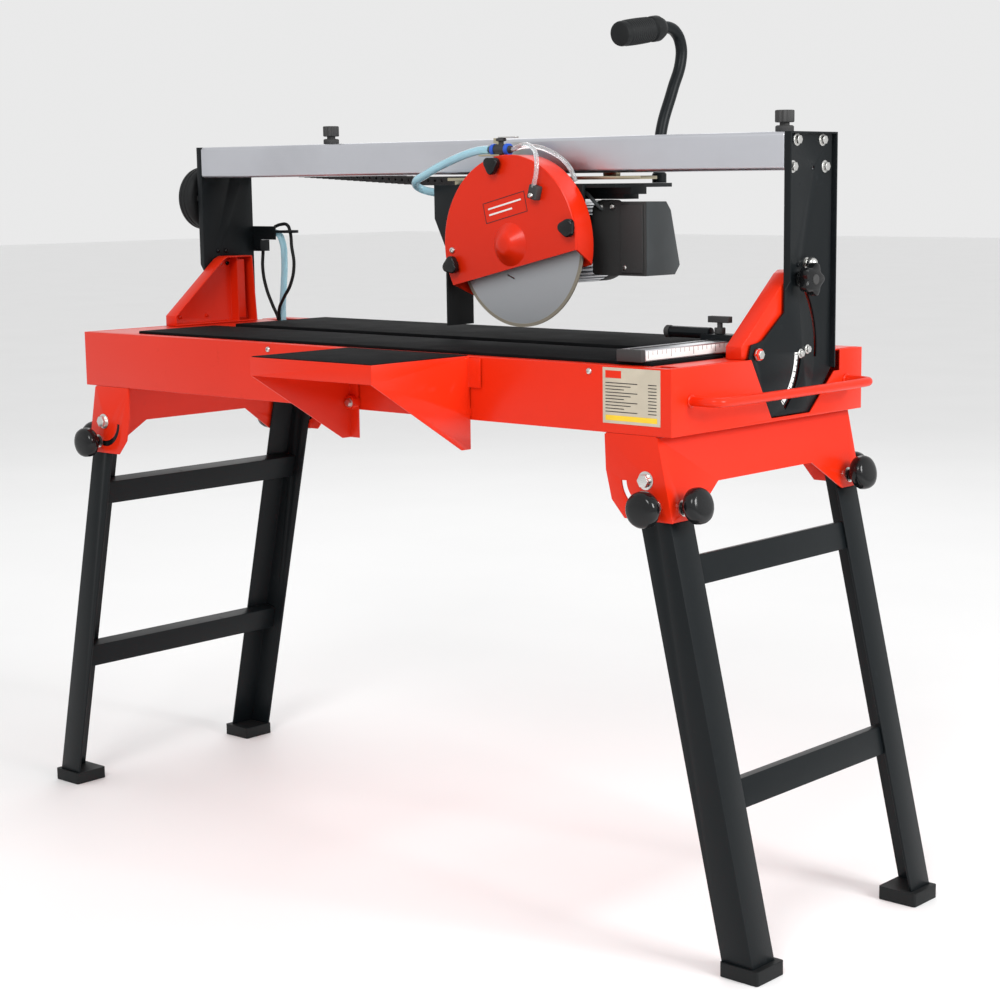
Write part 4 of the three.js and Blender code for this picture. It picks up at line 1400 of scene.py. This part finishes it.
@dataclass
class WaterLines:
    """Hoses and cables, each on the route of its CAD solid."""

    supply: Sequence[Point] = (
        (-20, 20, 1040), (-38, 18, 1041), (-56, 6, 1048), (-50, -8, 1056), (-20, -16, 1068), (30, -19, 1086),
        (84, -18.5, 1101), (104, -18, 1104), (119.2, -18, 1104))
    front_tube: Sequence[Point] = (
        (166, -18, 1104), (190, -22, 1110), (216, -32, 1107), (238, -46, 1092), (243, -52, 1070),
        (236, -51, 1048))
    rear_tube: Sequence[Point] = (
        (166, -18, 1104), (196, -14, 1108), (232, -5, 1099), (258, 4, 1078), (268, 8, 1056))
    riser: Sequence[Point] = (
        (-576, 161, 970), (-569, 162.5, 967), (-562, 165, 952), (-562, 168, 920), (-569, 171, 875),
        (-576, 173, 835), (-577, 174, 812), (-577, 174, 774))
    pump_cable: Sequence[Point] = (
        (-617, 166, 935.6), (-616, 163, 905), (-606, 161, 870), (-592, 163, 838), (-584, 168, 815),
        (-583, 169, 800), (-583, 169, 774))
    switch_cable: Sequence[Point] = (
        (-576, 160, 980), (-562, 162, 984), (-547, 164, 983), (-541, 165, 971), (-538, 165, 945),
        (-531, 163, 912), (-538, 160, 878), (-556, 158, 852), (-572, 161, 832), (-578.5, 166, 812),
        (-579, 166.4, 800), (-579, 166.4, 774))
    swing: Sequence[float] = (830, 955)

    def build(self) -> None:
        """Makes every hose and cable."""
        self.run("supply_line", self.supply, 6.3, Finish.HOSE, "supply_hose")
        self.run("front_guard_tube", self.front_tube, 3.5, Finish.CLEAR, "guard_tubes")
        self.run("rear_guard_tube", self.rear_tube, 3.5, Finish.CLEAR)
        self.run("riser_line", self.riser, 6, Finish.HOSE, "riser_lines", bends=True)
        self.run("pump_cable_line", self.pump_cable, 3, Finish.RUBBER, bends=True)
        self.run("switch_cable_line", self.switch_cable, 3, Finish.RUBBER, bends=True)

    def run(self, name: str, route: Sequence[Point], radius: float, finish: Finish, node: str = "",
            bends: bool = False) -> None:
        """Makes one line.

        Args:
            name: Its name.
            route: Its points in the tray's frame.
            radius: Its radius.
            finish: Its finish.
            node: The CAD node that it stands for, if any.
            bends: Whether it is left unattached, with its mesh baked in place, instead of riding on the head.
        """
        line = Bench.tube(name, [at(*point) for point in route], radius, 4)
        line.data.materials.append(finish.material)
        if node:
            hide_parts(node)
        if bends:
            low, high = self.swing
            at(-577, 174, high)
            at(-577, 174, low)
            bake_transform(line)
        else:
            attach(line, "head")


# ---- studio


@dataclass
class Studio:
    """The pale floor, the soft lights and the camera."""

    camera_place: Point = (2292.7, -2373.1, 1057.6)
    heading: float = 41.2
    height: float = 9.5
    roll: float = -0.6
    lens: float = 74.8
    shift: Point = (-0.049, 0.028)
    aim: Point = (0, 0, 0.8)
    room_light: float = 0.82
    lamps: Sequence[tuple[str, Point, float, float]] = (
        ("key", (1.8, -3.6, 3.6), 1.4, 85), ("side", (4.2, 0.2, 2.4), 1.4, 120),
        ("back", (-2.5, 3.0, 3.2), 2.5, 25))

    def build(self) -> None:
        """Sets up the floor, the lights and the camera."""
        self.floor()
        self.lights()
        self.camera()

    def floor(self) -> None:
        """Lays a large pale floor."""
        bpy.ops.mesh.primitive_plane_add(size=60, location=(0, 0, -0.0005))
        floor = bpy.context.object
        floor.name = "floor"
        r = Recipe("pale_floor")
        r.surface(Base_Color=r.mix(r.noise(2.0), (0.86, 0.86, 0.86), (0.9, 0.9, 0.9)), Roughness=0.6)
        floor.data.materials.append(r.material)

    def lights(self) -> None:
        """Hangs three soft lamps in a pale room."""
        world = bpy.data.worlds.new("pale_room")
        bpy.context.scene.world = world
        bpy.context.scene.view_settings.view_transform = "Standard"
        world.use_nodes = True
        sky = world.node_tree.nodes["Background"].inputs
        sky["Color"].default_value, sky["Strength"].default_value = (1, 1, 1, 1), self.room_light
        for name, place, size, power in self.lamps:
            data = bpy.data.lights.new(name, "AREA")
            data.energy, data.size = power, size
            lamp = bpy.data.objects.new(name, data)
            lamp.location = place
            lamp.rotation_euler = (Vector(self.aim) - Vector(place)).to_track_quat("-Z", "Y").to_euler()
            bpy.context.scene.collection.objects.link(lamp)

    def camera(self) -> None:
        """Places the camera to look at the machine's right front corner."""
        azimuth, elevation, roll = (math.radians(d) for d in (self.heading, self.height, self.roll))
        level = math.cos(elevation)
        forward = Vector((-math.sin(azimuth) * level, math.cos(azimuth) * level, -math.sin(elevation)))
        right = Vector((math.cos(azimuth), math.sin(azimuth), 0))
        up = right.cross(forward)
        side = right * math.cos(roll) + up * math.sin(roll)
        top = up * math.cos(roll) - right * math.sin(roll)
        data = bpy.data.cameras.new("view")
        data.lens, data.sensor_width = self.lens, 36
        data.shift_x, data.shift_y = self.shift
        camera = bpy.data.objects.new("view", data)
        turn = Matrix((side, top, -forward)).transposed().to_4x4()
        camera.matrix_world = Matrix.Translation(at(*self.camera_place)) @ turn
        bpy.context.scene.collection.objects.link(camera)
        bpy.context.scene.camera = camera


def main() -> None:
    """Builds the machine around its frame."""
    logging.basicConfig(level=logging.INFO, format="%(message)s")
    for part in (Studio(), Tray(), Stand(), Bridge(), SawHead(), WaterLines()):
        LOG.info("building %s", type(part).__name__)
        part.build()


if __name__ == "__main__":
    main()
